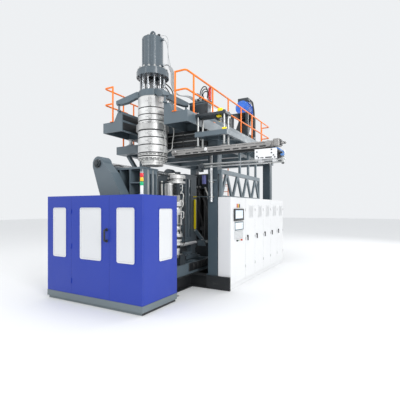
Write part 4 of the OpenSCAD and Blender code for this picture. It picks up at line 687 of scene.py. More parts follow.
# Die head fittings
# Each heater band has a ceramic terminal box and cap screws on its clamp ears; white glass
# braided leads drop from the boxes to a conduit on the rear of the head.
def repaint(bits, material):
    """Gives finished bits another finish in place of their own."""
    for bit in bits:
        bit.data.materials.clear()
        bit.data.materials.append(material)
    return bits


ceramic_white = enamel("ceramic_white", (0.7, 0.7, 0.67), rough=0.5, dirt=0.2, wear=0.0)
band_levels = ((4.178, 4.42), (4.018, 4.154), (3.882, 3.996), (3.8, 3.86), (3.492, 3.634), (3.322, 3.468),
               (3.14, 3.298))
head_bits = []
for low, high in band_levels:
    mid = (low + high) / 2
    for turn in (-75, -20, 62, 150, 205):
        a = math.radians(turn)
        spot = Vector((0.349 * math.cos(a), 0.349 * math.sin(a), mid))
        way = Vector((math.cos(a), math.sin(a), 0))
        side = Vector((-math.sin(a), math.cos(a), 0))
        if turn in (-20, 150):
            box = block((-0.045, -0.014, -0.022), (0.045, 0.014, 0.022), 0.005)
            box.rotation_euler = (0, 0, a + math.pi / 2)
            box.location = spot + way * 0.013
            box.data.materials.append(ceramic_white)
            head_bits.append(box)
            for s in (-1, 1):
                stud = rod(spot + side * 0.028 * s + way * 0.026, spot + side * 0.028 * s + way * 0.038, 0.006, 6)
                stud.data.materials.append(zinc_steel)
                head_bits.append(stud)
        else:
            for s in (-1, 1):
                stud = rod(spot + side * 0.02 * s, spot + side * 0.02 * s + way * 0.007, 0.008, 6)
                stud.data.materials.append(oiled_screw)
                head_bits.append(stud)
    for s in (-1, 1):
        ear = math.radians(-62)
        centre = Vector((0.37 * math.cos(ear), 0.37 * math.sin(ear), mid + s * (high - low) * 0.22))
        across = Vector((-math.sin(ear), math.cos(ear), 0))
        head_bits.append(painted(rod(centre - across * 0.03, centre + across * 0.03, 0.007, 6), oiled_screw))
# Black rings in the gaps between the heater bands and in the collar's groove are painted shade.
for low, high in ((4.154, 4.178), (3.996, 4.018), (3.86, 3.882), (3.634, 3.656), (3.468, 3.492),
                  (3.298, 3.322), (3.112, 3.14)):
    head_bits.append(painted(rod((0, 0, low), (0, 0, high), 0.3365, 72, 0.0005), black_plastic))
head_bits.append(painted(rod((0, 0, 3.033), (0, 0, 3.061), 0.338, 72, 0.0005), black_plastic))
# Two rows of black notch marks round the collar are painted shade in its scallops.
notch = block((-0.036, -0.003, -0.009), (0.036, 0.003, 0.009), 0.001)
notch.data.materials.append(black_plastic)
ring_radius, notches = 0.3495, 24
for k, twin in enumerate(copies(notch, [(0, 0, 0)] * 2 * notches)):
    a = math.radians(15 * k)
    twin.rotation_euler = (0, 0, a + math.pi / 2)
    twin.location = (ring_radius * math.cos(a), ring_radius * math.sin(a), 3.087 if k < notches else 2.998)
    head_bits.append(twin)
conduit = hose([(0.3, 0.12, 3.84), (0.37, 0.19, 3.86), (0.425, 0.235, 3.77), (0.437, 0.245, 3.6),
                (0.415, 0.225, 3.42), (0.4, 0.2, 3.24), (0.31, 0.16, 3.17)], 0.011, False)
head_bits += repaint(conduit, ceramic_white)
a = math.radians(-20)
x, y = 0.385 * math.cos(a), 0.385 * math.sin(a)
for start in (4.1, 3.83, 3.58):
    lead = hose([(x, y, start), (x + 0.05, y + 0.01, start - 0.06), (x + 0.07, y + 0.04, start - 0.25),
                 (x + 0.03, y + 0.05, start - 0.45), (x - 0.01, y + 0.02, start - 0.52)], 0.006, False)
    head_bits += repaint(lead, ceramic_white)
gather("head_fittings", head_bits, "machine", ceramic_white)

# Bolts of the head
# Large hexagon screws hold the collar, the hanger hub, and the cylinder flange.
head_bolts = []
for ring, count, low, high, size, shift in ((0.367, 16, 3.792, 3.812, 0.012, 0),
                                            (0.22, 10, 4.59, 4.618, 0.018, 0),
                                            (0.215, 12, 5.87, 5.895, 0.017, 8),
                                            (0.352, 16, 4.915, 4.934, 0.015, 11)):
    model = rod((ring, 0, low), (ring, 0, high), size, 6)
    for k in range(count):
        twin = model.copy()
        twin.data = model.data.copy()
        bpy.context.collection.objects.link(twin)
        a = math.radians(360 * k / count + shift)
        twin.location = (ring * math.cos(a), ring * math.sin(a), (low + high) / 2)
        head_bolts.append(twin)
    bpy.data.objects.remove(model)
gather("head_bolts", head_bolts, "machine", oiled_screw)
flange_nuts = []
for k in range(16):
    a = math.radians(22.5 * k)
    x, y = 0.334 * math.cos(a), 0.334 * math.sin(a)
    flange_nuts.append(rod((x, y, 5.099), (x, y, 5.128), 0.031, 6))
    flange_nuts.append(rod((x, y, 5.127), (x, y, 5.1435), 0.0215, 16))
gather("flange_nuts", flange_nuts, "machine", zinc_steel)

# Hydraulic lines of the head
# Three thick grey pressure lines leave the flange and run down to the valve block, with a thin
# leak line and the stroke sensor's cable beside them; three black lines go to the deck.
line_grey = enamel("line_grey", (0.42, 0.44, 0.45), rough=0.35, dirt=0.1, wear=0.0)
head_lines = []
for k in range(3):
    head_lines += hose([(0.31, 0.02 * k, 5.188 + 0.02 * k), (0.375, 0.06 + 0.03 * k, 5.22),
                        (0.41, 0.15 + 0.04 * k, 5.17), (0.4, 0.2 + 0.05 * k, 5.0), (0.395, 0.22 + 0.05 * k, 4.8),
                        (0.44, 0.33 + 0.05 * k, 4.62), (0.62, 0.66, 4.58 + 0.02 * k),
                        (0.7 + 0.05 * k, 0.83, 4.49)], 0.014)
head_lines += hose([(0.14, 0.08, 5.89), (0.15, 0.085, 5.95), (0.19, 0.108, 5.968), (0.27, 0.153, 5.965),
                    (0.31, 0.175, 5.9), (0.318, 0.18, 5.75), (0.32, 0.18, 5.5), (0.33, 0.185, 5.25),
                    (0.37, 0.22, 5.1)], 0.006, False)
head_lines += hose([(0.315, 0, 5.8), (0.335, 0.03, 5.79), (0.34, 0.12, 5.7), (0.335, 0.17, 5.5), (0.36, 0.2, 5.3),
                    (0.4, 0.24, 5.1)], 0.007)
repaint(head_lines, line_grey)
vent = [rod((0.13, 0.074, 5.87), (0.13, 0.074, 5.97), 0.026, 20),
        rod((0.13, 0.074, 5.969), (0.13, 0.074, 6.0), 0.034, 20, 0.004)]
for bit in vent:
    bit.data.materials.append(deep_grey_shaded)
head_lines += vent
for k in range(3):
    head_lines += hose([(-0.15 + 0.1 * k, 0.27, 4.93), (-0.12 + 0.1 * k, 0.42, 4.94), (0.1 * k, 0.55, 4.75),
                        (0.15, 0.7, 4.3), (0.3 + 0.05 * k, 0.9, 4.05), (0.62, 0.86 + 0.02 * k, 4.1)], 0.015)
gather("head_oil_lines", head_lines, "machine", hose_rubber)

# Valve block
# Valves with their coils on the dark block, a door with a knob on its front, hose loops over
# its top, and a yellow lifting bracket beside it.
yellow_paint = enamel("yellow_paint", (1.0, 0.78, 0.0), rough=0.35, dirt=0.03)
valve_bits = []
for k in range(3):
    x = 0.7 + 0.12 * k
    body = block((x - 0.04, 0.79, 4.469), (x + 0.04, 0.89, 4.54), 0.006)
    body.data.materials.append(zinc_steel)
    coil = rod((x, 0.75, 4.51), (x, 0.79, 4.51), 0.026, 18)
    coil.data.materials.append(black_plastic)
    valve_bits += [body, coil]
valve_bits.append(block((0.576, 0.754, 3.98), (1.084, 0.76, 4.4), 0.003))
valve_bits.append(painted(rod((1.05, 0.74, 4.2), (1.05, 0.754, 4.2), 0.014, 16), black_plastic))
valve_bits.append(painted(block((1.12, 1.2, deck_z), (1.12 + 0.05, 1.3, 4.06), 0.006), yellow_paint))
gather("valve_fittings", valve_bits, "machine", deep_grey_shaded)
loops = []
for k in range(3):
    y = 0.79 + 0.035 * k
    loops += hose([(0.87 + 0.03 * k, y, 4.47), (0.86 + 0.03 * k, y, 4.66 - 0.04 * k), (0.9, y, 4.78 - 0.05 * k),
                   (0.98, y, 4.83 - 0.05 * k), (1.05, y, 4.76 - 0.05 * k), (1.07 - 0.02 * k, y, 4.62),
                   (1.06 - 0.02 * k, y, 4.47)], 0.013)
gather("valve_hoses", loops, "machine", hose_rubber)

# Extruder cover
# Each heating zone has a perforated sheet cover with a fan below and a grey plug on top.
screw_z, cover_radius = 4.35, 0.137
zone_bits = []
for k in range(5):
    y = 0.51 + 0.41 * k
    zone_bits.append(rod((0, y - 0.004, screw_z), (0, y + 0.358, screw_z), cover_radius, 32))
    for turn in (40, 140):
        a = math.radians(turn)
        x, z = cover_radius * math.cos(a), screw_z + cover_radius * math.sin(a)
        plug = block((x - 0.022, y + 0.14, z - 0.005), (x + 0.022, y + 0.21, z + 0.035), 0.004)
        plug.data.materials.append(ceramic_white)
        zone_bits.append(plug)
    for n in range(2):
        rim = rod((0, y + 0.02 + 0.31 * n, screw_z), (0, y + 0.03 + 0.31 * n, screw_z), 0.141, 32)
        rim.data.materials.append(zinc_steel)
        zone_bits.append(rim)
    blower = rod((0.11, y + 0.17, 4.11), (0.15, y + 0.17, 4.11), 0.075, 28, 0.006)
    zone_bits.append(painted(blower, black_plastic))
gather("zone_covers", zone_bits, "machine", band_steel)
tray = [block((-0.33, 0.6, 4.02), (-0.25, 2.9, 4.03), 0.002),
        block((-0.335, 0.6, 4.02), (-0.33, 2.9, 4.08), 0.002),
        block((-0.25, 0.6, 4.02), (-0.245, 2.9, 4.08), 0.002)]
for y in (0.7, 1.5, 2.3, 2.8):
    tray.append(block((-0.31, y, deck_z), (-0.27, y + 0.03, 4.021), 0.003))
gather("cable_tray", tray, "machine", zinc_steel)
cables = []
for k in range(7):
    x = -0.32 + 0.011 * k
    cables += hose([(x, 0.62, 4.04), (x, 1.3, 4.037), (x + 0.002, 2.1, 4.04), (x, 2.88, 4.04)], 0.005, False)
for k in range(5):
    y = 0.68 + 0.41 * k
    cables += hose([(-0.105, y, 4.462), (-0.16, y, 4.47), (-0.22, y + 0.02, 4.32), (-0.27, y + 0.03, 4.1),
                    (-0.29, y + 0.04, 4.045)], 0.006, False)
gather("zone_cables", cables, "machine", hose_rubber)

# Main motor fittings
# Blue cast motor with a terminal box, lifting eyes, a forced fan cowl, and its cable.
motor_bits = []
motor_x, motor_z = 0.31, 5.51
motor_bits.append(rod((motor_x, 4.865, motor_z), (motor_x, 4.882, motor_z), 0.12, 32, 0.006))
for k in range(8):
    a = math.radians(45 * k)
    x, z = motor_x + 0.21 * math.cos(a), motor_z + 0.21 * math.sin(a)
    motor_bits.append(painted(rod((x, 4.872, z), (x, 4.882, z), 0.012, 6), zinc_steel))
motor_bits.append(painted(block((0.101, 4.986, 5.72), (0.499, 5.384, 5.889), 0.012), deep_grey_shaded))
gather("motor_fittings", motor_bits, "machine", motor_paint)
motor_lines = []
for k in range(3):
    motor_lines += hose([(0.495, 5.1 + 0.06 * k, 5.8), (0.55, 5.1 + 0.06 * k, 5.8),
                         (0.64, 5.08 + 0.05 * k, 5.6), (0.7, 5.0 + 0.05 * k, 4.9),
                         (0.69, 4.9 + 0.05 * k, 4.2), (0.69, 4.9 + 0.05 * k, 3.94)], 0.016)
gather("motor_cables", motor_lines, "machine", hose_rubber)

# Gearbox fittings
# Ribbed casting with screwed covers, a sight glass, breather, and an oil cooler on its side.
gear_bits = []
for z in (4.06, 4.3, 4.68):
    for y in (3.18, 3.42, 3.66, 3.9):
        for s in (1, -1):
            gear_bits.append(rod((0.3 * s, y, z), (0.312 * s, y, z), 0.013, 6))
for y in (3.3, 3.54, 3.78):
    gear_bits.append(block((0.298, y - 0.012, 4.0), (0.33, y + 0.012, 4.17), 0.004))
    gear_bits.append(block((0.298, y - 0.012, 4.6), (0.325, y + 0.012, 4.85), 0.004))
gear_bits.append(painted(rod((0.3, 3.3, 4.45), (0.31, 3.3, 4.45), 0.03, 24), lens_amber))
gear_bits.append(painted(block((0.36, 3.2, 3.95), (0.5, 3.8, 4.35), 0.008), platen_paint_shaded))
for y in (3.24, 3.72):
    gear_bits.append(block((0.38, y, deck_z), (0.48, y + 0.04, 3.955), 0.003))
fin = block((0.5, 3.215, 3.965), (0.506, 3.218, 4.335), 0.0006)
gear_bits += copies(fin, [(0, 0.018 * n, 0) for n in range(32)])
for y in (3.35, 3.65):
    gear_bits += hose([(0.43, y, 4.34), (0.43, y, 4.42), (0.39, y, 4.48), (0.31, y, 4.5)], 0.015)
gather("gearbox_fittings", gear_bits, "machine", deep_grey_shaded)

# Hopper fittings
# Loader lid with clamps, a sight window frame, and the suction elbow in bright sheet.
hopper_y = 2.82
hop_bits = [rod((0, hopper_y, 5.018), (0, hopper_y, 5.12), 0.11, 32),
            bent([(0, hopper_y, 5.1), (0, hopper_y, 5.3),
                  (-0.5, hopper_y, 5.3), (-0.5, hopper_y, 4.9)], 0.032, 0.12, 4),
            block((0.204, 2.74, 4.78), (0.209, 2.9, 4.98), 0.003)]
for y in (2.66, 2.98):
    hop_bits.append(block((0.2, y - 0.02, 4.985), (0.222, y + 0.02, 5.03), 0.003))
gather("hopper_fittings", hop_bits, "machine", band_steel)

# Walkway and deck
# Pressed open grating in the walkway frame, low kick plates round the platform deck, and under the
# platform a black box with pipes on the ring beam's front, its black a painted shade on the beam.
walk_bits = []
bar_model = block((1.6, 0.4, 3.4935), (1.63, 4.4, 3.52), 0.001)
bar_model.scale = (0.1, 1, 1)
bpy.ops.object.transform_apply(location=False, rotation=False, scale=True)
bar_model.location = (1.6, 2.4, 3.506)
walk_bits += copies(bar_model, [(0.034 * n, 0, 0) for n in range(11)])
cross = block((1.596, 0.42, 3.4935), (1.945, 0.428, 3.516), 0.001)
walk_bits += copies(cross, [(0, 0.11 * n, 0) for n in range(37)])
gather("walkway_grating", walk_bits, "machine", zinc_steel)
kick = []
for low_x, low_y, high_x in ((1.2, 0.56, 1.206), (-1.206, 0.56, -1.2), (-1.2, 5.434, -1.02), (-0.5, 5.434, 1.2)):
    kick.append(block((low_x, low_y, deck_z), (high_x, 5.44, 4.03), 0.002))
gather("kick_plates", kick, "machine", grey_paint)
# The black box over the ring beam's front is painted shade.
beam_shade_bits = [block((0.02, 0.335, 3.285), (1.29, 0.3877, 3.66), 0.004)]
for k in range(4):
    z = 3.34 + 0.08 * k
    pipe = rod((0.04, 0.318, z), (1.28, 0.318, z), 0.011, 14)
    pipe.data.materials.append(zinc_steel if k % 2 else deep_grey_shaded)
    beam_shade_bits.append(pipe)
for x in (0.2, 0.65, 1.1):
    beam_shade_bits.append(block((x, 0.302, 3.31), (x + 0.03, 0.34, 3.62), 0.003))
for low, high in ((3.95, 4.08), (3.71, 3.9)):
    beam_shade_bits.append(block((-0.6095, -0.37, low), (-0.604, 0.3, high), 0.002))
gather("beam_shade_box", beam_shade_bits, "machine", black_paint)

# Jack posts
# White painted jack screws with hexagon nuts carry the platform above the ring.
jacks = []
for x in (-1.11, 1.11):
    for y in (0.488, 1.45, 2.4, 3.4, 4.6):
        jacks.append(rod((x, y, 3.52), (x, y, 3.68), 0.043, 24))
        jacks.append(rod((x, y, 3.522), (x, y, 3.56), 0.072, 6, 0.003))
        jacks.append(rod((x, y, 3.64), (x, y, 3.68), 0.072, 6, 0.003))
gather("jack_nuts", jacks, "machine", cabinet_paint)

# Take-out unit
# Extruded alloy beam with T slots, a hardened guide rail below it, a toothed belt drive, an
# energy chain on top, and a white carriage with bright boom tubes.
slot_bits = []
# The thin black strip and the row of black dashes over the T slots are painted shade in the slots.
slot_bits.append(painted(block((0.66, -0.0915, 3.118), (2.92, -0.0895, 3.126), 0.0006), black_plastic))
dash = block((0.98, -0.0918, 3.044), (1.11, -0.0895, 3.068), 0.0006)
dash.data.materials.append(black_plastic)
slot_bits += copies(dash, [(0.19 * n, 0, 0) for n in range(10)])
slot_bits.append(block((0.66, -0.1, 3.072), (2.94, -0.0895, 3.082), 0.001))
for x in (0.616, 2.948):
    slot_bits.append(block((x, -0.088, 3.032), (x + 0.01, 0.208, 3.148), 0.003))
for x, radius, finish in ((0.7, 0.032, cabinet_paint), (1.0, 0.012, zinc_steel), (1.49, 0.038, cabinet_paint),
                          (2.2, 0.012, zinc_steel), (2.6, 0.012, zinc_steel)):
    slot_bits.append(painted(rod((x, -0.102, 3.11), (x, -0.089, 3.11), radius, 24, 0.003), finish))
for x, radius in ((0.68, 0.045), (2.88, 0.06)):
    slot_bits.append(rod((x, -0.155, 3.09), (x, -0.13, 3.09), radius * 0.9, 28, 0.004))
    slot_bits.append(rod((x, -0.165, 3.09), (x, -0.15, 3.09), 0.018, 6))
for low, high in (((3.07, -0.05, 3.06), (3.095, 0.11, 3.17)), ((3.16, -0.04, 3.075), (3.18, 0.0, 3.105)),
                  ((3.12, 0.05, 3.1), (3.135, 0.09, 3.14))):
    slot_bits.append(painted(block(low, high, 0.004), black_plastic))
gather("beam_details", slot_bits, "machine", beam_alloy)
rail_bits = [block((0.655, -0.036, 2.985), (3.022, 0.036, 3.0285), 0.002)]
gather("guide_rail", rail_bits, "machine", black_paint)
drive_x, drive_z = 2.86, 3.075
drive = [rod((drive_x, 0.36, drive_z), (drive_x, 0.6, drive_z), 0.05, 28, 0.004),
         block((2.8, 0.355, 3.02), (2.92, 0.366, 3.13), 0.004),
         rod((drive_x, 0.6, drive_z), (drive_x, 0.62, drive_z), 0.042, 28, 0.004),
         block((2.83, 0.44, 3.12), (2.89, 0.52, 3.15), 0.004)]
gather("take_out_motor", drive, "machine", black_plastic)
chain_link = block((2.0, 0.14, 3.151), (2.038, 0.2, 3.186), 0.004)
chain = copies(chain_link, [(0.042 * n, 0, 0) for n in range(22)])
gather("energy_chain", chain, "machine", black_plastic)
hanger_bits = []
for x in (1.275, 1.905):
    for y in (-0.045, 0.165):
        hanger_bits.append(rod((x, y, 3.165), (x, y, 3.921), 0.0205, 20))
        hanger_bits.append(rod((x, y, 3.2), (x, y, 3.21), 0.034, 6))
gather("hanger_nuts", hanger_bits, "machine", zinc_steel)
plate_bits = [block((1.225, y, 3.828), (1.95, y + 0.008, 3.885), 0.002) for y in (-0.078, 0.216)]
gather("hanger_plate_edges", plate_bits, "machine", deep_grey_shaded)
yellow_bits = [block((1.74, -0.03, 3.881), (1.84, 0.06, 3.965), 0.006),
               block((1.88, -0.098, 3.4), (1.97, -0.05, 3.53), 0.004),
               block((1.7, 0.0, 3.79), (1.8, 0.06, 3.829), 0.004)]
gather("yellow_stops", yellow_bits, "machine", yellow_paint)
cart_bits = []
for x, z in ((2.668, 2.934), (2.668, 2.852), (2.957, 2.962), (2.957, 2.9), (2.997, 2.852), (2.7, 2.82),
             (3.02, 2.815)):
    cart_bits.append(painted(rod((x, -0.178, z), (x, -0.17, z), 0.013, 12), black_plastic))
for low, high in (((2.735, -0.173, 2.808), (2.8, -0.17, 2.824)),
                  ((2.834, -0.173, 2.806), (2.965, -0.17, 2.828))):
    cart_bits.append(painted(block(low, high, 0.001), black_plastic))
boom_radius = 0.0178
for y in (-0.036, 0.036):
    cart_bits.append(rod((1.352, y, 2.792), (3.16, y, 2.792), boom_radius, 22))
cart_bits.append(rod((1.41, 0, 2.736), (3.16, 0, 2.736), boom_radius, 22))
cart_bits.append(block((3.12, -0.07, 2.715), (3.15, 0.07, 2.815), 0.004))
for bit in cart_bits:
    if not bit.data.materials:
        bit.data.materials.append(zinc_steel)
for x in (2.86, 2.92, 3.125, 3.15):
    cart_bits.append(painted(rod((x, -0.03, 2.69), (x, -0.03, 2.72), 0.011, 12), black_plastic))
gather("carriage_details", cart_bits, "carriage", cabinet_paint)
grip_bits = [rod((3.06, -0.05, 2.9), (3.17, -0.05, 2.9), 0.03, 24),
             rod((3.06, 0.05, 2.86), (3.15, 0.05, 2.86), 0.024, 24),
             block((3.05, -0.11, 2.8), (3.075, 0.11, 2.96), 0.004),
             block((3.14, -0.085, 2.86), (3.18, -0.015, 2.94), 0.004)]
for k, bit in enumerate(grip_bits):
    bit.data.materials.append(black_plastic if k in (0, 2) else zinc_steel)
grip_bits.append(block((1.346, -0.077, 2.716), (1.402, 0.077, 2.818), 0.003))
grip_bits[-1].data.materials.append(deep_grey_shaded)
gather("carriage_cylinders", grip_bits, "carriage", zinc_steel)
air_blue = enamel("air_blue", (0.06, 0.2, 0.5), rough=0.4, dirt=0.05, wear=0.0)
air = []
for k in range(2):
    line = hose([(3.0 - 0.04 * k, -0.145, 2.992), (3.07, -0.165, 2.985 - 0.012 * k),
                 (3.13, -0.15, 2.95 - 0.02 * k), (3.18, -0.12, 2.9 - 0.02 * k), (3.17, -0.08, 2.86)], 0.006, False)
    air += repaint(line, air_blue)
air.append(block((3.12, -0.14, 2.84), (3.185, -0.09, 2.875), 0.006))
gather("air_hoses", air, "carriage", air_blue)

# Upright air tube
# Bright stainless tube in three clamps on the front of the column, with a cap at its lower end.
air_x, air_y = 1.405, 0.338
tube_bits = [rod((air_x, air_y, 1.993), (air_x, air_y, 3.21), 0.0325, 32),
             rod((air_x, air_y, 1.984), (air_x, air_y, 2.008), 0.035, 32)]
for z in (2.08, 2.42, 3.12):
    tube_bits.append(rod((air_x, air_y, z), (air_x, air_y, z + 0.036), 0.041, 32))
    tube_bits.append(rod((1.37, 0.29, z + 0.018), (1.37, 0.33, z + 0.018), 0.007, 6))
for bit in tube_bits[2:]:
    bit.data.materials.append(zinc_steel)
tube_bits.append(painted(block((1.31, 0.345, 2.462), (1.52, 0.389, 2.492), 0.003), truss_paint))
polished_tube = bright_steel("polished_tube", (0.84, 0.85, 0.86), rough=0.16, metal=0.7)
gather("air_tube", tube_bits, "machine", polished_tube)

# Blow pins
# Bolted flanges, black spring packs and a dark valve block on the turned column; a side cylinder
# with its tie rods and flow controls; white and black lines run down to the slide.
for side, body in ((-1, "pin_left"), (1, "pin_right")):
    x = 0.68 * side
    cylinder_x, flange_x, valve_x = x - 0.095 * side, x - 0.08 * side, x + 0.07 * side
    bits = []
    for mid, ring, low, high, count, size in (
        (flange_x, 0.19, 2.585, 2.602, 10, 0.013), (flange_x, 0.19, 2.45, 2.466, 10, 0.013),
        (x, 0.135, 2.125, 2.14, 8, 0.01), (x, 0.135, 1.835, 1.849, 8, 0.01),
        (x, 0.21, 1.45, 1.468, 10, 0.012), (x, 0.135, 1.262, 1.276, 8, 0.009),
    ):
        for k in range(count):
            a = math.radians(360 * k / count + 20)
            px, py = mid + ring * math.cos(a), ring * math.sin(a)
            bits.append(painted(rod((px, py, low), (px, py, high), size, 6), oiled_screw))
    # Black blocks for the windows in the flange are painted shade in the openings.
    for k in range(12):
        a = math.radians(30 * k)
        window = block((-0.022, -0.004, 2.458), (0.022, 0.004, 2.502), 0.001)
        window.rotation_euler = (0, 0, a + math.pi / 2)
        window.location = (flange_x + 0.16 * math.cos(a), 0.16 * math.sin(a), 2.48)
        window.data.materials.append(black_plastic)
        bits.append(window)
    for k in range(10):
        a = math.radians(36 * k + 10)
        rib = block((-0.017, -0.004, 1.265), (0.017, 0.004, 1.34), 0.001)
        rib.rotation_euler = (0, 0, a + math.pi / 2)
        rib.location = (x + 0.13 * math.cos(a), 0.13 * math.sin(a), 1.303)
        rib.data.materials.append(black_plastic)
        bits.append(rib)
    for low, high, ring, dark in (
        (2.03, 2.048, 0.148, 1), (1.88, 2.03, 0.14, 0), (1.862, 1.881, 0.146, 1), (1.732, 1.862, 0.12, 0),
        (1.45, 1.468, 0.105, 1), (1.352, 1.42, 0.1, 0), (1.19, 1.258, 0.135, 0), (1.13, 1.19, 0.1225, 1),
        (1.085, 1.129, 0.118, 0), (0.921, 0.998, 0.0605, 1),
    ):
        pack = rod((x, 0, low), (x, 0, high), ring, 40, 0.002)
        bits.append(painted(pack, black_plastic if dark else pin_steel))
    # Black blocks for the slots in the flange rim are painted shade in the slots.
    for turn in (-93, -85, -77, -69, -61, -53):
        a = math.radians(turn if side > 0 else 180 - turn)
        slot = block((-0.015, -0.002, 2.529), (0.015, 0.002, 2.579), 0.001)
        slot.rotation_euler = (0, 0, a + math.pi / 2)
        slot.location = (flange_x + 0.2045 * math.cos(a), 0.2045 * math.sin(a), 2.554)
        slot.data.materials.append(black_plastic)
        bits.append(slot)
    # Black discs for the holes in the flange rim are painted shade in the holes.
    for turn in (-31, -3, 40, 120):
        a = math.radians(turn if side > 0 else 180 - turn)
        hole = rod((flange_x + 0.2 * math.cos(a), 0.2 * math.sin(a), 2.552),
                   (flange_x + 0.2065 * math.cos(a), 0.2065 * math.sin(a), 2.552), 0.022, 20, 0.001)
        hole.data.materials.append(black_plastic)
        bits.append(hole)
    bits.append(rod((flange_x, 0, 2.6), (flange_x, 0, 2.632), 0.13, 40, 0.003))
    bits.append(painted(rod((x, 0, 2.62), (x, 0, 2.664), 0.095, 36, 0.004), deep_grey_shaded))
    guide_x, guide_y = x + 0.092 * side, 0.05
    bits.append(rod((guide_x, guide_y, 1.45), (guide_x, guide_y, 1.75), 0.022, 20))
    bits.append(block((min(x, guide_x) - 0.02, 0.02, 1.452), (max(x, guide_x) + 0.02, 0.08, 1.49), 0.004))
    for k in range(2):
        ox = x - side * (0.33 - 0.05 * k)
        post_bit = rod((ox, -0.18, 1.98), (ox, -0.18, 2.46), 0.02, 16)
        post_bit.data.materials.append(ceramic_white if k else black_plastic)
        bits.append(post_bit)
    near, far = sorted((x - side * 0.35, x - side * 0.09))
    for z in (1.99, 2.4):
        bits.append(painted(block((near, -0.2, z), (far, -0.16, z + 0.03), 0.003), deep_grey_shaded))
    valve = block((valve_x - 0.062, -0.138, 2.13), (valve_x + 0.062, -0.053, 2.392), 0.006)
    valve.data.materials.append(deep_grey_shaded)
    bits.append(valve)
    for k in range(3):
        plug = block((valve_x - 0.05, -0.158, 2.15 + 0.075 * k), (valve_x + 0.02, -0.138, 2.2 + 0.075 * k), 0.004)
        plug.data.materials.append(black_plastic)
        bits.append(plug)
    for k in range(4):
        a = math.radians(90 * k + 45)
        tie_x, tie_y = cylinder_x + 0.098 * math.cos(a), -0.15 + 0.098 * math.sin(a)
        bits.append(painted(rod((tie_x, tie_y, 1.98), (tie_x, tie_y, 2.38), 0.008, 12), zinc_steel))
    for z in (1.99, 2.36):
        bits.append(rod((cylinder_x, -0.15, z), (cylinder_x, -0.15, z + 0.03), 0.106, 32, 0.003))
    for k, (top, low, pale) in enumerate(((2.36, 2.22, 1), (2.16, 1.88, 1), (1.74, 1.62, 1), (2.3, 1.2, 0),
                                          (1.98, 1.0, 0))):
        reach = x + side * (0.175 if pale else 0.15)
        y = -0.03 + 0.03 * k
        line = hose([(x + side * 0.1, -0.07 + 0.03 * k, top), (reach - side * 0.01, -0.04 + 0.03 * k, top + 0.02),
                     (reach, y, (top + low) / 2), (reach - side * 0.01, y, low), (x + side * 0.09, y, low - 0.03)],
                    0.009)
        if pale:
            repaint(line[:1], ceramic_white)
        bits += line
    gather("blow_pin_details_" + ("left" if side < 0 else "right"), bits, body, pin_steel)

# Tie bar nuts
# Round slotted nuts lock both ends of each tie bar; a plate with screws holds them.
nut_bits = []
for s in (-1, 1):
    x, z = -0.34 * s, clamp_axis_z + 0.934 * s
    for y, way in ((-1.392, -1), (1.29, 1)):
        nut_bits.append(rod((x, y, z), (x, y + 0.05 * way, z), 0.085, 8, 0.006))
        nut_bits.append(rod((x, y + 0.06 * way, z), (x, y + 0.075 * way, z), 0.052, 32, 0.004))
        for k in range(6):
            a = math.radians(60 * k)
            screw_x, screw_z = x + 0.062 * math.cos(a), z + 0.062 * math.sin(a)
            nut_bits.append(rod((screw_x, y + 0.05 * way, screw_z), (screw_x, y + 0.062 * way, screw_z), 0.008, 6))
gather("tie_bar_nuts", nut_bits, "clamp_yoke", deep_grey_shaded)

# Platen fittings
# Slide shoes have lube lines and wipers, the face plate has tapped holes; a yellow handrail bar
# and a strut stand on the rear platen.
for body, s in (("front_mould_platen", -1), ("clamp_yoke", 1)):
    bits = []
    # Black discs stand for the tapped holes: painted shade in the holes.
    hole = rod((-0.45, s * 0.5505, 1.1), (-0.45, s * 0.5495, 1.1), 0.012, 16, 0.0002)
    hole.data.materials.append(black_plastic)
    bits += copies(hole, [(-0.45 + 0.15 * i, s * 0.55, 1.1 + 0.18 * j) for j in range(9) for i in range(7)])
    for x in (-0.5, 0.5):
        for y in (0.56, 1.11):
            wiper = block((x - 0.09, s * y - 0.008, 0.578), (x + 0.09, s * y + 0.008, 0.67), 0.003)
            wiper.data.materials.append(black_plastic)
            bits.append(wiper)
        for y in (0.64, 0.83, 1.02):
            bits.append(rod((x * 1.17, s * y, 0.679), (x * 1.17, s * y, 0.695), 0.013, 6))
    gather("platen_fittings_" + ("front" if s < 0 else "rear"), bits, body, oiled_screw)
bar_bits = [block((0.575, 0.955, 1.3), (0.625, 1.0, 2.06), 0.008),
            block((0.566, 0.95, 2.12), (0.66, 1.0, 2.145), 0.003)]
gather("yellow_bar", bar_bits, "clamp_yoke", yellow_paint)
arm_bits = [block((0.66, 0.955, 2.115), (1.0, 0.985, 2.14), 0.004),
            block((0.7, 0.93, 0.89), (0.9, 1.03, 1.03), 0.008)]
strut = block((-0.17, -0.018, -0.045), (0.17, 0.018, 0.045), 0.006)
strut.rotation_euler = (0, math.radians(48), 0)
strut.location = (0.715, 0.98, 1.147)
arm_bits.append(strut)
for k, bit in enumerate(arm_bits):
    bit.data.materials.append(grey_paint if k else truss_paint)
for x, z in ((0.605, 1.268), (0.82, 1.035)):
    arm_bits.append(painted(rod((x, 0.945, z), (x, 1.015, z), 0.024, 20, 0.003), zinc_steel))
arm_bits.append(painted(rod((0.9, 0.98, 0.99), (1.02, 0.98, 0.99), 0.022, 20, 0.003), zinc_steel))
gather("locking_arm", arm_bits, "clamp_yoke", grey_paint)
strips = []
for y, wide in ((-1.07, 0.012), (-0.89, 0.022), (-0.73, 0.012), (-0.572, 0.014)):
    strips.append(block((0.56, y - wide, 1.2), (0.573, y + wide, 2.64), 0.002))
gather("platen_strips", strips, "front_mould_platen", zinc_steel)
guide = [rod((0.63, 0.16, 0.968), (0.63, 0.95, 0.968), 0.04, 32, 0.004)]
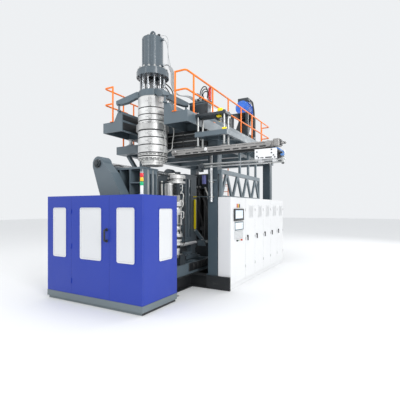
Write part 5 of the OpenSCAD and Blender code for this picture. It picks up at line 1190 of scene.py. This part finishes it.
for low, high in (((0.56, 0.1055, 0.6), (0.7, 0.172, 0.74)), ((0.575, 0.134, 0.735), (0.685, 0.172, 1.02))):
    guide.append(painted(block(low, high, 0.004), deep_grey_shaded))
guide_steel = bright_steel("guide_steel", (0.85, 0.86, 0.87), rough=0.3, metal=0.5)
gather("side_guide_rod", guide, "machine", guide_steel)
# Black panels on the bed's right side are painted shade on that face.
covers = [block((0.853, 0.25, 0.36), (0.868, 1.44, 0.549), 0.003)]
covers += copies(block((0.8665, 0.26, 0.37), (0.874, 0.44, 0.54), 0.003), [(0, 0.2 * n, 0) for n in range(6)])
gather("bed_side_shade_panels", covers, "machine", black_paint)

# Accumulator rack
# Black pressure bottles with their neck valves, the violet blue pilot cylinder on its bracket,
# hoses between the blocks of the hydraulic unit, and a back plate with its ribs.
bottle_y, pilot_x, pilot_y = 2.1, 0.35, 1.92
rack_bits = []
for x in (0.07, 0.35):
    rack_bits.append(rod((x, bottle_y, 0.93), (x, bottle_y, 2.32), 0.0965, 36, 0.02))
    rack_bits.append(rod((x, bottle_y, 2.33), (x, bottle_y, 2.4), 0.062, 24, 0.004))
    for z in (1.12, 1.75):
        rack_bits.append(rod((x, bottle_y, z), (x, bottle_y, z + 0.03), 0.1, 36, 0.002))
pilot = rod((pilot_x, pilot_y, 2.525), (pilot_x, pilot_y, 2.775), 0.0595, 28, 0.004)
pilot.data.materials.append(enamel("violet_paint", (0.19, 0.2, 0.55), rough=0.35, dirt=0.05, wear=0.1))
rack_bits.append(pilot)
for z in (2.505, 2.775):
    cap = rod((pilot_x, pilot_y, z), (pilot_x, pilot_y, z + 0.02), 0.062, 28, 0.003)
    cap.data.materials.append(black_plastic)
    rack_bits.append(cap)
for k in range(3):
    valve = block((0.02 + 0.12 * k, 1.95, 2.5), (0.1 + 0.12 * k, 2.0, 2.72), 0.006)
    valve.data.materials.append(deep_grey_shaded)
    rack_bits.append(valve)
rack_bits += hose([(0.1, 1.97, 2.46), (0.1, 1.85, 2.3), (0.2, 1.82, 1.9), (0.33, 1.86, 1.4),
                   (0.3, 1.95, 0.9)], 0.02)
rack_bits += hose([(0.2, 1.97, 2.46), (0.22, 1.88, 2.35), (0.42, 1.84, 2.0), (0.46, 1.9, 1.3),
                   (0.42, 1.95, 0.88)], 0.02)
rack_bits += hose([(0.0, 1.97, 2.6), (-0.1, 1.9, 2.4), (-0.12, 1.86, 1.6), (-0.05, 1.95, 0.9)], 0.02)
white_line = hose([(0.4, 1.9, 2.42), (0.43, 1.88, 2.36), (0.49, 1.87, 2.24), (0.5, 1.9, 2.1)], 0.016)
repaint(white_line[:1], ceramic_white)
rack_bits += white_line
rack_bits.append(block((-0.06, 2.19, 0.93), (0.5, 2.215, 2.42), 0.004))
for k in range(4):
    z = 1.05 + 0.4 * k
    rack_bits.append(block((-0.05, 2.16, z), (0.49, 2.195, 1.11 + 0.4 * k), 0.004))
gather("accumulator_rack", rack_bits, "machine", black_paint)
